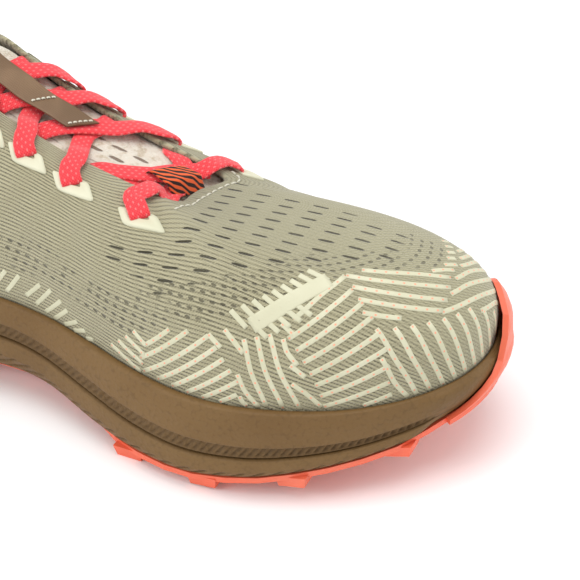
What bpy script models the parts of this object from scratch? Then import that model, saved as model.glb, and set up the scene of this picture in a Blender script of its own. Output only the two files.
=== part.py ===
"""A trail running shoe for the right foot, standing empty on its lugs.

Metres, +Z up. The toe points to +X, the inner side of the foot is at +Y, and the origin is on the
floor under the middle of the shoe. Every piece is worked out from the outline of the sole, a table of
heights along it, and a table of the top line of the upper.
"""

import math

import bmesh
import bpy
import numpy as np
from mathutils import Matrix, Vector

# Main sizes
SHOE_LENGTH = 0.285
BALL_WIDTH = 0.1085
TOE_SPRING = 0.022
FOOTBED_HEIGHT = 0.0365
RIM_HEIGHT = 0.057
COLLAR_HEIGHT = 0.112

# Sole
LUG_DEPTH = 0.0036
LUG_LENGTH = 0.0105
LUG_SWEEP = 0.0032
LUG_TAPER = 0.86
LUG_WIDTH_SHARE = 0.143
RUBBER_THICKNESS = 0.0022
RUBBER_SHOWS = 0.0006
RUBBER_WAIST_INSET = 0.0030
BUMPER_THICKNESS = 0.0020
BUMPER_CLEARANCE = 0.0007
BUMPER_FOOT = 0.0022
SOLE_FLARE = 0.0068
WAIST_UNDERCUT = 0.0045
WAIST_PLACE = 0.40
WAIST_REACH = 0.13
GROOVE_DEPTH = 0.0022
RIB_DEPTH = 0.0010
CUP_TAPER = 0.0010

# Upper and the pieces on it
WALL = 0.0020
COLLAR_PAD = 0.0062
LINING_ROUND = 0.0012
INSOLE_THICKNESS = 0.0042
TONGUE_THICKNESS = 0.0036
TONGUE_CLEARANCE = 0.0008
TONGUE_FRONT_SINK = 0.0014
TONGUE_ABOVE_COLLAR = 0.020
EYELET_SLOT = (0.0072, 0.0028)
EYELET_PATCH = (0.0124, 0.0080)
PATCH_THICKNESS = 0.0007
LACE_WIDTH = 0.0068
LACE_THICKNESS = 0.0013
LACE_OVER_SHARE = 0.6
LABEL_WIDTH = 0.0140
LABEL_THICKNESS = 0.0009
KEEPER_WIDTH = 0.0090
KEEPER_THICKNESS = 0.0011

# Fits
GAP = 0.0003
LACE_REST = 0.0023
BUMPER_ROOT = (0.3, 0.7)
SLOT_CLEARANCE = 1.12

# Mesh counts
MIDSOLE_STATIONS = 92
SHEET_STATIONS = 60
UPPER_STATIONS = 76
UPPER_ROWS = 8
BUMPER_STATIONS = 19
BUMPER_ROWS = 8
ARCH_PLACES = 7
TONGUE_ROWS = 10
TOP_ROWS = 3
BAR_POINTS = 7
LABEL_ROWS = 12
PATCH_CORNERS = 10

# Widest outline of the sole: share of the length from the heel, and half widths as shares of the ball width
OUTLINE_COLUMNS = ("along", "outer", "inner")
OUTLINE = (
    (0.012, 0.118, 0.118),
    (0.050, 0.268, 0.268),
    (0.100, 0.358, 0.354),
    (0.170, 0.404, 0.392),
    (0.250, 0.400, 0.372),
    (0.330, 0.374, 0.342),
    (0.410, 0.355, 0.325),
    (0.480, 0.368, 0.338),
    (0.550, 0.418, 0.382),
    (0.620, 0.472, 0.438),
    (0.700, 0.500, 0.486),
    (0.770, 0.477, 0.500),
    (0.840, 0.414, 0.478),
    (0.900, 0.326, 0.428),
    (0.950, 0.216, 0.350),
    (0.985, 0.090, 0.244),
)
TOE_TIP_ACROSS = 0.075

# Where the foam hides the edge of the rubber: middle as a share of the length, half reach, and where it is back
RUBBER_HIDDEN = (0.42, 0.12, 0.19)

# Heights along the sole: lift off the floor as a share of the toe spring, and shares of the footbed's height,
# the rim's height and the flare of the side
HEIGHT_COLUMNS = ("along", "lift", "footbed", "rim", "flare")
HEIGHTS = (
    (0.00, 0.45, 1.000, 1.000, 0.85),
    (0.03, 0.22, 1.000, 0.995, 0.90),
    (0.07, 0.05, 1.000, 0.975, 0.95),
    (0.10, 0.00, 0.998, 0.945, 1.00),
    (0.21, 0.00, 0.980, 0.840, 0.95),
    (0.28, 0.06, 0.950, 0.780, 0.85),
    (0.36, 0.17, 0.910, 0.735, 0.80),
    (0.44, 0.17, 0.850, 0.703, 0.80),
    (0.52, 0.05, 0.790, 0.670, 0.88),
    (0.57, 0.00, 0.750, 0.648, 0.95),
    (0.67, 0.00, 0.700, 0.612, 1.00),
    (0.76, 0.11, 0.700, 0.596, 0.98),
    (0.82, 0.27, 0.720, 0.597, 0.94),
    (0.88, 0.48, 0.755, 0.612, 0.76),
    (0.94, 0.74, 0.815, 0.645, 0.56),
    (1.00, 1.00, 0.900, 0.695, 0.44),
)

# Side of the midsole from its bottom edge up: height as a share of the side at four places along the shoe, how
# far it stands in from the widest outline as a share of the flare, and its part in the undercut, groove and ribs
SIDE_COLUMNS = ("heel", "waist", "ball", "toe", "inset", "undercut", "groove", "rib")
SIDE_PLACES = (0.12, 0.40, 0.68, 0.90)
SIDE = (
    (0.00, 0.00, 0.00, 0.00, 0.30, 1.0, 0.0, 0.0),
    (0.05, 0.10, 0.04, 0.04, 0.16, 0.7, 0.0, 1.0),
    (0.13, 0.29, 0.10, 0.09, 0.04, 0.1, 0.0, 1.0),
    (0.16, 0.34, 0.13, 0.12, 0.00, 0.0, 0.0, 0.0),
    (0.34, 0.53, 0.32, 0.26, 0.12, 0.0, 0.0, 0.0),
    (0.37, 0.56, 0.35, 0.29, 0.22, 0.0, 1.0, 0.0),
    (0.40, 0.59, 0.38, 0.32, 0.14, 0.0, 0.2, 0.0),
    (0.55, 0.74, 0.55, 0.46, 0.22, 0.0, 0.2, 0.0),
    (0.58, 0.77, 0.58, 0.49, 0.14, 0.0, 0.0, 0.0),
    (0.76, 0.88, 0.78, 0.73, 0.27, 0.0, 0.0, 0.0),
    (0.92, 0.96, 0.93, 0.92, 0.46, 0.0, 0.0, 0.0),
)
RIM_INSET = 0.55

# Where the side is plain, under the toe bumper: middle as a perimeter share, half reach, and width of the blend
PLAIN_TOE = (1.037, 0.158, 0.036)
PLAIN_BULGE = (0.70, 0.95)
PLAIN_BULGE_CURVE = 1.6

# Top line of the upper: perimeter share from the heel to the toe, share of the length, half width as a share of
# the ball width, height as a share of the collar's, and the wall under it: how round it is, how square its
# shoulder is (1 is a quarter ellipse, and less is squarer), and its bulge
TOPLINE_COLUMNS = ("perimeter", "along", "across", "height", "round", "square", "bulge")
TOPLINE_OUTER = (
    (0.00, 0.034, 0.000, 0.930, 0.15, 1.00, 0.0050),
    (0.07, 0.046, 0.125, 0.910, 0.15, 1.00, 0.0046),
    (0.14, 0.092, 0.212, 0.848, 0.18, 1.00, 0.0040),
    (0.20, 0.142, 0.256, 0.792, 0.22, 1.00, 0.0034),
    (0.26, 0.202, 0.266, 0.772, 0.28, 1.00, 0.0030),
    (0.32, 0.256, 0.236, 0.845, 0.38, 0.97, 0.0030),
    (0.365, 0.292, 0.180, 0.950, 0.48, 0.95, 0.0028),
    (0.40, 0.320, 0.140, 0.985, 0.54, 0.95, 0.0026),
    (0.46, 0.372, 0.114, 0.925, 0.60, 0.94, 0.0024),
    (0.52, 0.425, 0.104, 0.858, 0.64, 0.93, 0.0024),
    (0.58, 0.480, 0.102, 0.802, 0.68, 0.92, 0.0024),
    (0.64, 0.532, 0.102, 0.764, 0.72, 0.91, 0.0024),
    (0.70, 0.578, 0.100, 0.734, 0.76, 0.90, 0.0024),
    (0.76, 0.610, 0.090, 0.712, 0.80, 0.85, 0.0022),
    (0.83, 0.624, 0.060, 0.694, 0.86, 0.78, 0.0024),
    (0.92, 0.626, 0.008, 0.688, 0.94, 0.68, 0.0030),
)
TOPLINE_INNER = (
    (0.00, 0.034, 0.000, 0.930, 0.15, 1.00, 0.0050),
    (0.07, 0.046, 0.125, 0.912, 0.15, 1.00, 0.0044),
    (0.14, 0.092, 0.212, 0.856, 0.18, 1.00, 0.0036),
    (0.20, 0.144, 0.256, 0.806, 0.22, 1.00, 0.0030),
    (0.26, 0.206, 0.268, 0.790, 0.28, 1.00, 0.0026),
    (0.32, 0.264, 0.244, 0.866, 0.38, 0.97, 0.0022),
    (0.365, 0.306, 0.194, 0.966, 0.48, 0.95, 0.0020),
    (0.40, 0.338, 0.160, 1.000, 0.54, 0.95, 0.0018),
    (0.46, 0.392, 0.144, 0.938, 0.60, 0.94, 0.0018),
    (0.52, 0.446, 0.140, 0.866, 0.60, 0.98, 0.0016),
    (0.58, 0.500, 0.142, 0.808, 0.60, 1.00, 0.0010),
    (0.64, 0.552, 0.146, 0.760, 0.58, 1.02, 0.0006),
    (0.70, 0.600, 0.148, 0.724, 0.56, 1.04, 0.0002),
    (0.76, 0.634, 0.142, 0.700, 0.54, 1.06, 0.0000),
    (0.83, 0.648, 0.120, 0.690, 0.64, 0.98, 0.0008),
    (0.92, 0.640, 0.076, 0.688, 0.84, 0.76, 0.0030),
)
THROAT_FRONT = (1.00, 0.630, 0.042, 0.686, 0.95, 0.66, 0.0034)

# Padding of the collar as a share of the full padding, and how far up the wall it starts
PADDING_COLUMNS = ("perimeter", "padding")
PADDING = ((0.00, 0.75), (0.12, 1.00), (0.30, 1.00), (0.37, 0.45), (0.42, 0.0), (0.60, 0.0), (1.0, 0.0))
PADDING_STARTS = 0.45

# Toe bumper: perimeter share (over 1 is the inner side) and its height as a share of the full height, the part of
# that height that lies on the midsole, and how far it climbs the wall of the upper
BUMPER_COLUMNS = ("perimeter", "height")
BUMPER = (
    (0.922, 0.02), (0.938, 0.08), (0.952, 0.18), (0.966, 0.32), (0.980, 0.48), (0.994, 0.62), (1.012, 0.82),
    (1.030, 0.97), (1.050, 1.00), (1.072, 0.95), (1.095, 0.74), (1.118, 0.46), (1.138, 0.16), (1.152, 0.02),
)
BUMPER_ON_SIDE = 0.60
BUMPER_UP_WALL = 0.20

# Lugs, a row for each line across the sole: share of the length, share of the lug length, and the middles of the
# lugs from the outer edge of the sole (0) to its inner edge (1)
LUG_COLUMNS = ("along", "length", "across")
LUG_ROWS = (
    (0.045, 0.80, (0.33, 0.67)),
    (0.098, 1.00, (0.10, 0.37, 0.63, 0.90)),
    (0.154, 1.00, (0.25, 0.50, 0.75)),
    (0.210, 1.00, (0.08, 0.37, 0.63, 0.92)),
    (0.266, 0.90, (0.27, 0.73)),
    (0.325, 0.80, (0.20, 0.80)),
    (0.435, 0.80, (0.22, 0.78)),
    (0.505, 0.95, (0.24, 0.50, 0.76)),
    (0.560, 1.00, (0.30, 0.56, 0.82)),
    (0.614, 1.00, (0.06, 0.28, 0.50, 0.72, 0.94)),
    (0.665, 1.00, (0.20, 0.40, 0.60, 0.80)),
    (0.717, 1.00, (0.06, 0.28, 0.50, 0.72, 0.94)),
    (0.768, 1.00, (0.20, 0.40, 0.60, 0.80)),
    (0.819, 1.00, (0.06, 0.28, 0.50, 0.72, 0.94)),
    (0.871, 1.00, (0.22, 0.50, 0.78)),
    (0.922, 0.90, (0.10, 0.40, 0.68, 0.93)),
)

# The throat from its front (0) to the collar (1): perimeter shares of its outer and inner edge. The rows between
# the first and the last each carry a pair of eyelets
THROAT_COLUMNS = ("place", "outer", "inner")
THROAT = (
    (0.00, 0.775, 0.835),
    (0.20, 0.666, 0.726),
    (0.42, 0.572, 0.626),
    (0.62, 0.510, 0.548),
    (0.79, 0.458, 0.492),
    (0.95, 0.410, 0.436),
    (1.00, 0.402, 0.428),
)
EYELET_UP = {"outer": 0.80, "inner": 0.84}
PATCH_POWER, SLOT_POWER = 0.45, 0.6

# The tongue: how far down the wall its edges lie, the part of the throat that it is shaped to, how strongly it
# arches, and the height up the wall and the place of the rows in front of the throat
TONGUE_EDGE_UP = 0.714
TONGUE_SPAN = (0.07, 0.98)
TONGUE_ARCH = 0.85
TONGUE_ARCH_GROWS = 0.26
TONGUE_FRONT = ((0.86, -0.08), (1.00, 0.00))
TONGUE_FRONT_DROP = 0.20
TONGUE_NARROWS = 0.45

# The label and the keeper from end to end along the throat, and the bar under the first crossing
LABEL_SPAN = (0.53, 1.06)
KEEPER_SPAN = (0.06, 0.330)
BAR_PLACE = 0.175
BAR_REACH = 0.66
LABEL_COMES_DOWN = (0.84, 0.97)
KEEPER_CLIMBS = 0.15

# A crossing of the lace: places up the wall from the slot to the edge, places across the tongue, where each strip
# goes under the far edge as a share of the way to the next eyelet, and where the keeper holds the first crossing
LACE_ACROSS = (-0.58, -0.28, 0.02, 0.32, 0.62)
LACE_DIVES = {"outer": 0.74, "inner": 0.52}
KEEPER_HOLDS = 0.160
LACE_HUMP_REACH = 0.35
LACE_STARTS_UNDER = 0.03

MATERIALS = {
    "knit": ((0.50, 0.46, 0.34), 0.85),
    "foam": ((0.22, 0.13, 0.065), 0.65),
    "rubber": ((0.90, 0.16, 0.08), 0.55),
    "lace": ((0.92, 0.09, 0.10), 0.70),
    "film": ((0.78, 0.78, 0.60), 0.45),
    "tongue_knit": ((0.62, 0.57, 0.48), 0.85),
    "footbed_cloth": ((0.55, 0.50, 0.40), 0.90),
    "label_cloth": ((0.20, 0.13, 0.08), 0.60),
    "webbing": ((0.30, 0.06, 0.02), 0.75),
}


def material(name):
    """The Principled material of that name."""
    found = bpy.data.materials.get(name)
    if found:
        return found
    colour, roughness = MATERIALS[name]
    made = bpy.data.materials.new(name)
    made.use_nodes = True
    shader = made.node_tree.nodes["Principled BSDF"]
    shader.inputs["Base Color"].default_value = (*colour, 1.0)
    shader.inputs["Roughness"].default_value = roughness
    made.diffuse_color = (*colour, 1.0)
    return made


def smooth(knots, values, at, period=None, level=False):
    """A cubic curve through the knots. A level curve never swings past its knots; a period closes it."""
    knots = np.asarray(knots, float)
    values = np.asarray(values, float).reshape(len(knots), -1)
    at = np.asarray(at, float)
    if period:
        knots = np.concatenate([knots[-2:] - period, knots, knots[:2] + period])
        values = np.concatenate([values[-2:], values, values[:2]])
        at = at % period
    step = np.diff(knots)[:, None]
    rise = np.diff(values, axis=0) / step
    slope = np.empty_like(values)
    slope[0], slope[-1] = rise[0], rise[-1]
    slope[1:-1] = (rise[:-1] * step[1:] + rise[1:] * step[:-1]) / (step[:-1] + step[1:])
    if level:
        turns = rise[:-1] * rise[1:] <= 0
        mean = 2 * rise[:-1] * rise[1:] / np.where(turns, 1.0, rise[:-1] + rise[1:])
        slope[1:-1] = np.where(turns, 0.0, mean)
    i = np.clip(np.searchsorted(knots, at, side="right") - 1, 0, len(knots) - 2)
    h = step[i]
    t = ((at - knots[i]) / h[:, 0])[:, None]
    made = (
        (2 * t**3 - 3 * t**2 + 1) * values[i]
        + (t**3 - 2 * t**2 + t) * h * slope[i]
        + (3 * t**2 - 2 * t**3) * values[i + 1]
        + (t**3 - t**2) * h * slope[i + 1]
    )
    return made[:, 0] if made.shape[1] == 1 else made


def ease(value, low, high):
    """Rises smoothly from 0 at low to 1 at high."""
    share = np.clip((np.asarray(value, float) - low) / (high - low), 0, 1)
    return share * share * (3 - 2 * share)


def unit(vectors):
    """Rows scaled to length 1."""
    return vectors / np.linalg.norm(vectors, axis=-1)[..., None]


def column(table, columns, name):
    """One named column of a table."""
    place = columns.index(name)
    return np.array([row[place] for row in table], float)


def along(name, share):
    """A column of HEIGHTS at these shares of the length."""
    shares = column(HEIGHTS, HEIGHT_COLUMNS, "along")
    return smooth(shares, column(HEIGHTS, HEIGHT_COLUMNS, name), share, level=True)


def x_of(share):
    """Where a share of the midsole's length lies. The bumper makes up the rest of the length."""
    return share * (SHOE_LENGTH - BUMPER_THICKNESS - BUMPER_CLEARANCE) - SHOE_LENGTH / 2


def share_of(x):
    """Share of the midsole's length at these places."""
    return np.clip((x + SHOE_LENGTH / 2) / (SHOE_LENGTH - BUMPER_THICKNESS - BUMPER_CLEARANCE), 0, 1)


def widest_outline():
    """The sole's widest outline as two dense halves with their perimeter shares: heel to toe, then back."""
    outer = [(row[0], -row[1]) for row in OUTLINE]
    inner = [(row[0], row[2]) for row in reversed(OUTLINE)]
    points = np.array([(0.0, 0.0), *outer, (1.0, TOE_TIP_ACROSS), *inner])
    points = np.stack([x_of(points[:, 0]), points[:, 1] * BALL_WIDTH], 1)
    chords = np.hypot(*(np.roll(points, -1, 0) - points).T)
    knots = np.concatenate([[0], np.cumsum(chords)])
    toe = knots[len(outer) + 1]
    dense = 1200
    at = np.concatenate([np.linspace(0, toe, dense, False), np.linspace(toe, knots[-1], dense, False)])
    line = smooth(knots[:-1], points, at, period=knots[-1])
    halves = []
    for half in (line[: dense + 1], np.vstack([line[dense:], line[:1]])):
        run = np.concatenate([[0], np.cumsum(np.hypot(*np.diff(half, axis=0).T))])
        halves.append((half, run / run[-1]))
    return halves


HALVES = widest_outline()


def on_outline(perimeter):
    """Points of the widest outline at perimeter shares: 0 is the heel, 1 the toe, and the inner side follows."""
    perimeter = perimeter % 2
    points = np.empty((len(perimeter), 2))
    for half, (line, share) in enumerate(HALVES):
        chosen = (perimeter >= half) & (perimeter < half + 1)
        for axis in (0, 1):
            points[chosen, axis] = np.interp(perimeter[chosen] - half, share, line[:, axis])
    return points


def plain_inset(level):
    """Inset of the side where it has no steps, as a share of the flare, at a share of its height."""
    low, share = PLAIN_BULGE
    return share * np.clip(1 - level / low, 0, 1) ** PLAIN_BULGE_CURVE + RIM_INSET * ease(level, low, 2 - low)


def undercut(share):
    """How far the bottom edge is drawn in at the waist."""
    return WAIST_UNDERCUT * np.exp(-(((share - WAIST_PLACE) / WAIST_REACH) ** 2))


class Stations:
    """Places round the shoe, with the heights and insets of the sole at each."""

    def __init__(self, perimeter):
        step = 0.004
        self.perimeter = np.asarray(perimeter, float)
        self.points = on_outline(self.perimeter)
        run = unit(on_outline(self.perimeter + step) - on_outline(self.perimeter - step))
        self.normals = np.stack([run[:, 1], -run[:, 0]], 1)
        self.share = share_of(self.points[:, 0])
        self.rubber_bottom = LUG_DEPTH + along("lift", self.share) * TOE_SPRING
        self.rubber_top = self.rubber_bottom + RUBBER_THICKNESS
        self.foam_bottom = self.rubber_top + GAP
        self.footbed = along("footbed", self.share) * FOOTBED_HEIGHT
        self.rim = along("rim", self.share) * RIM_HEIGHT
        self.flare = along("flare", self.share) * SOLE_FLARE
        middle, reach, blend = PLAIN_TOE
        self.plain = 1 - ease(np.abs(self.perimeter % 2 - middle), reach - blend, reach)

    def ring(self, inset, height):
        """A ring, set in from the widest outline by an inset and raised to a height."""
        inset = np.broadcast_to(inset, self.share.shape)
        flat = self.points - self.normals * inset[:, None]
        return np.column_stack([flat, np.broadcast_to(height, self.share.shape)])

    def side_height(self, level):
        """Height at a share of the midsole's side."""
        return self.foam_bottom + level * (self.rim - self.foam_bottom)

    def side_row(self, row):
        """Inset, height and rib share of one row of the midsole's side."""
        value = dict(zip(SIDE_COLUMNS, row))
        at = np.clip(self.share, SIDE_PLACES[0], SIDE_PLACES[-1])
        level = smooth(SIDE_PLACES, row[: len(SIDE_PLACES)], at, level=True)
        stepped = value["inset"] * self.flare + value["groove"] * GROOVE_DEPTH
        inset = stepped + (plain_inset(level) * self.flare - stepped) * self.plain
        inset = inset + value["undercut"] * undercut(self.share)
        return inset, self.side_height(level), value["rib"] * (1 - self.plain)


def even_stations(count):
    """Stations spread evenly round the shoe, from the heel."""
    return Stations(np.arange(count) * 2 / count)


def new_object(name, mesh, material_name, collection):
    """An object for a finished bmesh, with its faces made flat and pointing out."""
    bmesh.ops.triangulate(mesh, faces=mesh.faces)
    bmesh.ops.recalc_face_normals(mesh, faces=mesh.faces)
    data = bpy.data.meshes.new(name)
    mesh.to_mesh(data)
    mesh.free()
    data.materials.append(material(material_name))
    data.shade_smooth()
    data.set_sharp_from_angle(angle=math.radians(35))
    made = bpy.data.objects.new(name, data)
    collection.objects.link(made)
    return made


def cap(mesh, row, shift):
    """Closes a ring with strips. Each place pairs with the one across, and a shift of 1 starts at a lone place."""
    count = len(row)
    for i in range(count // 2):
        across = count - 1 - i + shift
        corners = list(dict.fromkeys([row[i], row[i + 1], row[across - 1], row[across % count]]))
        if len(corners) > 2:
            mesh.faces.new(corners)


def loft(rings, closed=False, shift=0):
    """A bmesh skinned over rings of equal count, with the last joined to the first or both ends capped."""
    mesh = bmesh.new()
    rows = [[mesh.verts.new(point) for point in ring] for ring in rings]
    count = len(rows[0])
    pairs = list(zip(rows, rows[1:])) + ([(rows[-1], rows[0])] if closed else [])
    for low, high in pairs:
        for i in range(count):
            j = (i + 1) % count
            mesh.faces.new((low[i], low[j], high[j], high[i]))
    for row in () if closed else (rows[0], rows[-1]):
        cap(mesh, row, shift)
    return mesh


def slab(outer_rows, inner_rows):
    """A bmesh of a plate between two grids of points, given as rows of equal count."""
    return loft([np.vstack([outer, inner[::-1]]) for outer, inner in zip(outer_rows, inner_rows)])


def boolean(piece, tool, operation):
    """Joins or cuts a piece with a tool."""
    tool.hide_render = True
    tool.display_type = "WIRE"
    modifier = piece.modifiers.new(operation.lower(), "BOOLEAN")
    modifier.operation = operation
    modifier.object = tool
    modifier.solver = "EXACT"


def midsole(collection):
    """The foam: a stepped, grooved and ribbed side, a rim, and the cup that the upper stands in."""
    stations = even_stations(MIDSOLE_STATIONS)
    turn = np.where(np.arange(MIDSOLE_STATIONS) % 2, 0.5, -0.5)
    rings = []
    for row in SIDE:
        inset, height, rib = stations.side_row(row)
        rings.append(stations.ring(inset + rib * turn * RIB_DEPTH, height))
    rings.append(stations.ring(stations.flare * RIM_INSET, stations.rim))
    rings.append(stations.ring(stations.flare, stations.rim))
    rings.append(stations.ring(stations.flare + CUP_TAPER, stations.footbed))
    return new_object("midsole", loft(rings, shift=1), "foam", collection)


def underside(x):
    """Height of the rubber's underside."""
    return LUG_DEPTH + along("lift", share_of(np.array([x])))[0] * TOE_SPRING


def sole_edges(share):
    """The sheet's outer and inner edge across the shoe, at a share of the length."""
    shares = column(OUTLINE, OUTLINE_COLUMNS, "along")
    outer = smooth(shares, column(OUTLINE, OUTLINE_COLUMNS, "outer"), [share])[0] * BALL_WIDTH
    inner = smooth(shares, column(OUTLINE, OUTLINE_COLUMNS, "inner"), [share])[0] * BALL_WIDTH
    margin = SOLE_FLARE / 2 + undercut(share)
    return margin - outer, inner - margin


def add_lug(mesh, share, length, across):
    """A chevron block whose foot follows the underside of the rubber."""
    outer, inner = sole_edges(share)
    middle = Vector((x_of(share), outer + (inner - outer) * across))
    back, side, sweep = LUG_LENGTH * length / 2, LUG_WIDTH_SHARE * BALL_WIDTH / 2, LUG_SWEEP * (1 - abs(2 * across - 1))
    flat = ((-back, -side), (sweep - back, 0), (-back, side), (back, side), (sweep + back, 0), (back, -side))
    top = [mesh.verts.new((middle.x + x, middle.y + y, 0)) for x, y in flat]
    foot = [mesh.verts.new((middle.x + x * LUG_TAPER, middle.y + y * LUG_TAPER, 0)) for x, y in flat]
    for vertex in top:
        vertex.co.z = underside(vertex.co.x) + RUBBER_THICKNESS / 2
    for vertex in foot:
        vertex.co.z = underside(vertex.co.x) - LUG_DEPTH
    for ring in (top, foot):
        mesh.faces.new((ring[0], ring[1], ring[4], ring[5]))
        mesh.faces.new((ring[1], ring[2], ring[3], ring[4]))
    for i in range(len(flat)):
        j = (i + 1) % len(flat)
        mesh.faces.new((top[i], top[j], foot[j], foot[i]))


def bumper(tools):
    """The toe bumper: a strip that follows the plain side of the midsole, then the wall of the upper."""
    stations = Stations(np.linspace(BUMPER[0][0], BUMPER[-1][0], BUMPER_STATIONS))
    knots, heights = [column(BUMPER, BUMPER_COLUMNS, name) for name in BUMPER_COLUMNS]
    reach = smooth(knots, heights, stations.perimeter, level=True)
    edge = plain_inset(0.0) * stations.flare
    root_low, root_high = [stations.rubber_bottom + RUBBER_THICKNESS * share for share in BUMPER_ROOT]
    inside = [stations.ring(edge + BUMPER_FOOT, root_high), stations.ring(edge - BUMPER_CLEARANCE, root_high)]
    outside = [stations.ring(edge + BUMPER_FOOT, root_low), stations.ring(edge - BUMPER_CLEARANCE - BUMPER_THICKNESS, root_low)]
    for share in np.linspace(0, 1, BUMPER_ROWS):
        on_side = np.clip(share * reach / BUMPER_ON_SIDE, 0, 1)
        on_wall = np.clip((share * reach - BUMPER_ON_SIDE) / (1 - BUMPER_ON_SIDE), 0, 1)
        wall = UPPER.outer(stations.perimeter, on_wall * BUMPER_UP_WALL)
        wall_inset = ((stations.points - wall[:, :2]) * stations.normals).sum(1)
        side_inset = plain_inset(on_side) * stations.flare
        inset = side_inset + (wall_inset - side_inset) * ease(on_wall, 0, 1)
        height = np.where(on_wall > 0, wall[:, 2], stations.side_height(on_side))
        inside.append(stations.ring(inset - BUMPER_CLEARANCE, height))
        outside.append(stations.ring(inset - BUMPER_CLEARANCE - BUMPER_THICKNESS, height))
    strips = np.array([*inside, *reversed(outside)]).transpose(1, 0, 2)
    return new_object("toe_bumper", loft(list(strips)), "rubber", tools)


def outsole(collection, tools):
    """The rubber: a thin sheet under the foam, its lugs, and the bumper that wraps up the toe."""
    stations = even_stations(SHEET_STATIONS)
    middle, reach, back = RUBBER_HIDDEN
    hidden = 1 - ease(np.abs(stations.share - middle), reach, back)
    edge = stations.side_row(SIDE[0])[0] - RUBBER_SHOWS + RUBBER_WAIST_INSET * hidden
    rings = [stations.ring(edge, stations.rubber_bottom), stations.ring(edge, stations.rubber_top)]
    sheet = new_object("outsole", loft(rings, shift=1), "rubber", collection)
    lugs = bmesh.new()
    for row in LUG_ROWS:
        value = dict(zip(LUG_COLUMNS, row))
        for across in value["across"]:
            add_lug(lugs, value["along"], value["length"], across)
    boolean(sheet, new_object("lug_blocks", lugs, "rubber", tools), "UNION")
    boolean(sheet, bumper(tools), "UNION")
    return sheet


class Upper:
    """The upper's outer and inner surface, as points at a perimeter share and a share up the wall."""

    def __init__(self):
        inner = [(2 - row[0], *row[1:]) for row in reversed(TOPLINE_INNER[1:])]
        rows = [*TOPLINE_OUTER, THROAT_FRONT, *inner]
        value = {name: column(rows, TOPLINE_COLUMNS, name) for name in TOPLINE_COLUMNS}
        side = np.array([-1] * len(TOPLINE_OUTER) + [1] * (len(rows) - len(TOPLINE_OUTER)))
        self.knots = value["perimeter"]
        edge = (x_of(value["along"]), side * value["across"] * BALL_WIDTH, value["height"] * COLLAR_HEIGHT)
        self.values = np.column_stack([*edge, value["round"], value["square"], value["bulge"]])

    def outer(self, perimeter, up):
        """Points of the outer surface, from the rim of the sole (0) to the top line (1)."""
        perimeter = np.atleast_1d(np.asarray(perimeter, float))
        up = np.broadcast_to(up, perimeter.shape)[:, None]
        stations = Stations(perimeter)
        start = stations.ring(stations.flare + GAP, stations.rim)
        values = smooth(self.knots, self.values, perimeter, period=2.0)
        end, roundness, square, bulge = values[:, :3], values[:, 3:4], values[:, 4:5], values[:, 5:6]
        turn = up * math.pi / 2
        flat = (1 - roundness) * up + roundness * (1 - np.abs(np.cos(turn)) ** square)
        rise = (1 - roundness) * up + roundness * np.sin(turn) ** square
        made = start + (end - start) * np.concatenate([flat, flat, rise], 1)
        made[:, :2] += stations.normals * bulge * np.sin(np.clip(up * 1.15, 0, 1) * math.pi)
        return made

    def normals(self, perimeter, up):
        """Outward normals of the outer surface."""
        perimeter = np.atleast_1d(np.asarray(perimeter, float))
        up = np.broadcast_to(up, perimeter.shape)
        climb = self.outer(perimeter, np.clip(up + 0.02, 0, 1)) - self.outer(perimeter, np.clip(up - 0.02, 0, 1))
        run = self.outer(perimeter + 0.006, up) - self.outer(perimeter - 0.006, up)
        return unit(np.cross(run, climb))

    def thickness(self, perimeter, up):
        """Wall thickness, with the padding of the collar."""
        nearest = np.minimum(np.atleast_1d(perimeter) % 2, 2 - np.atleast_1d(perimeter) % 2)
        knots, padding = [column(PADDING, PADDING_COLUMNS, name) for name in PADDING_COLUMNS]
        shares = smooth(knots, padding, nearest, level=True)
        return WALL + COLLAR_PAD * shares * ease(up, PADDING_STARTS, 1)

    def inner(self, perimeter, up):
        """Points of the inner surface."""
        depth = self.thickness(perimeter, up)
        return self.outer(perimeter, up) - self.normals(perimeter, up) * depth[:, None]

    def frame(self, perimeter, up):
        """A frame on the outer surface: X along the top line, Y up the wall, Z outward."""
        out = Vector(self.normals(perimeter, up)[0])
        run = Vector(self.outer(perimeter + 0.004, up)[0] - self.outer(perimeter - 0.004, up)[0])
        run = (run - out * run.dot(out)).normalized()
        made = Matrix((run, out.cross(run), out)).transposed().to_4x4()
        made.translation = Vector(self.outer(perimeter, up)[0])
        return made


UPPER = Upper()


def throat_sides(v):
    """Perimeter shares of the outer and inner edge at a place along the throat."""
    places, outer, inner = [column(THROAT, THROAT_COLUMNS, name) for name in THROAT_COLUMNS]
    return {"outer": smooth(places, outer, [v])[0], "inner": 2 - smooth(places, inner, [v])[0]}


EYELET_PLACES = [row[0] for row in THROAT[1:-1]]


def eyelets():
    """Side, number and perimeter share of each eyelet, from the toe up."""
    places = []
    for number, v in enumerate(EYELET_PLACES, 1):
        places += [(side, number, share) for side, share in throat_sides(v).items()]
    return places


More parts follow.
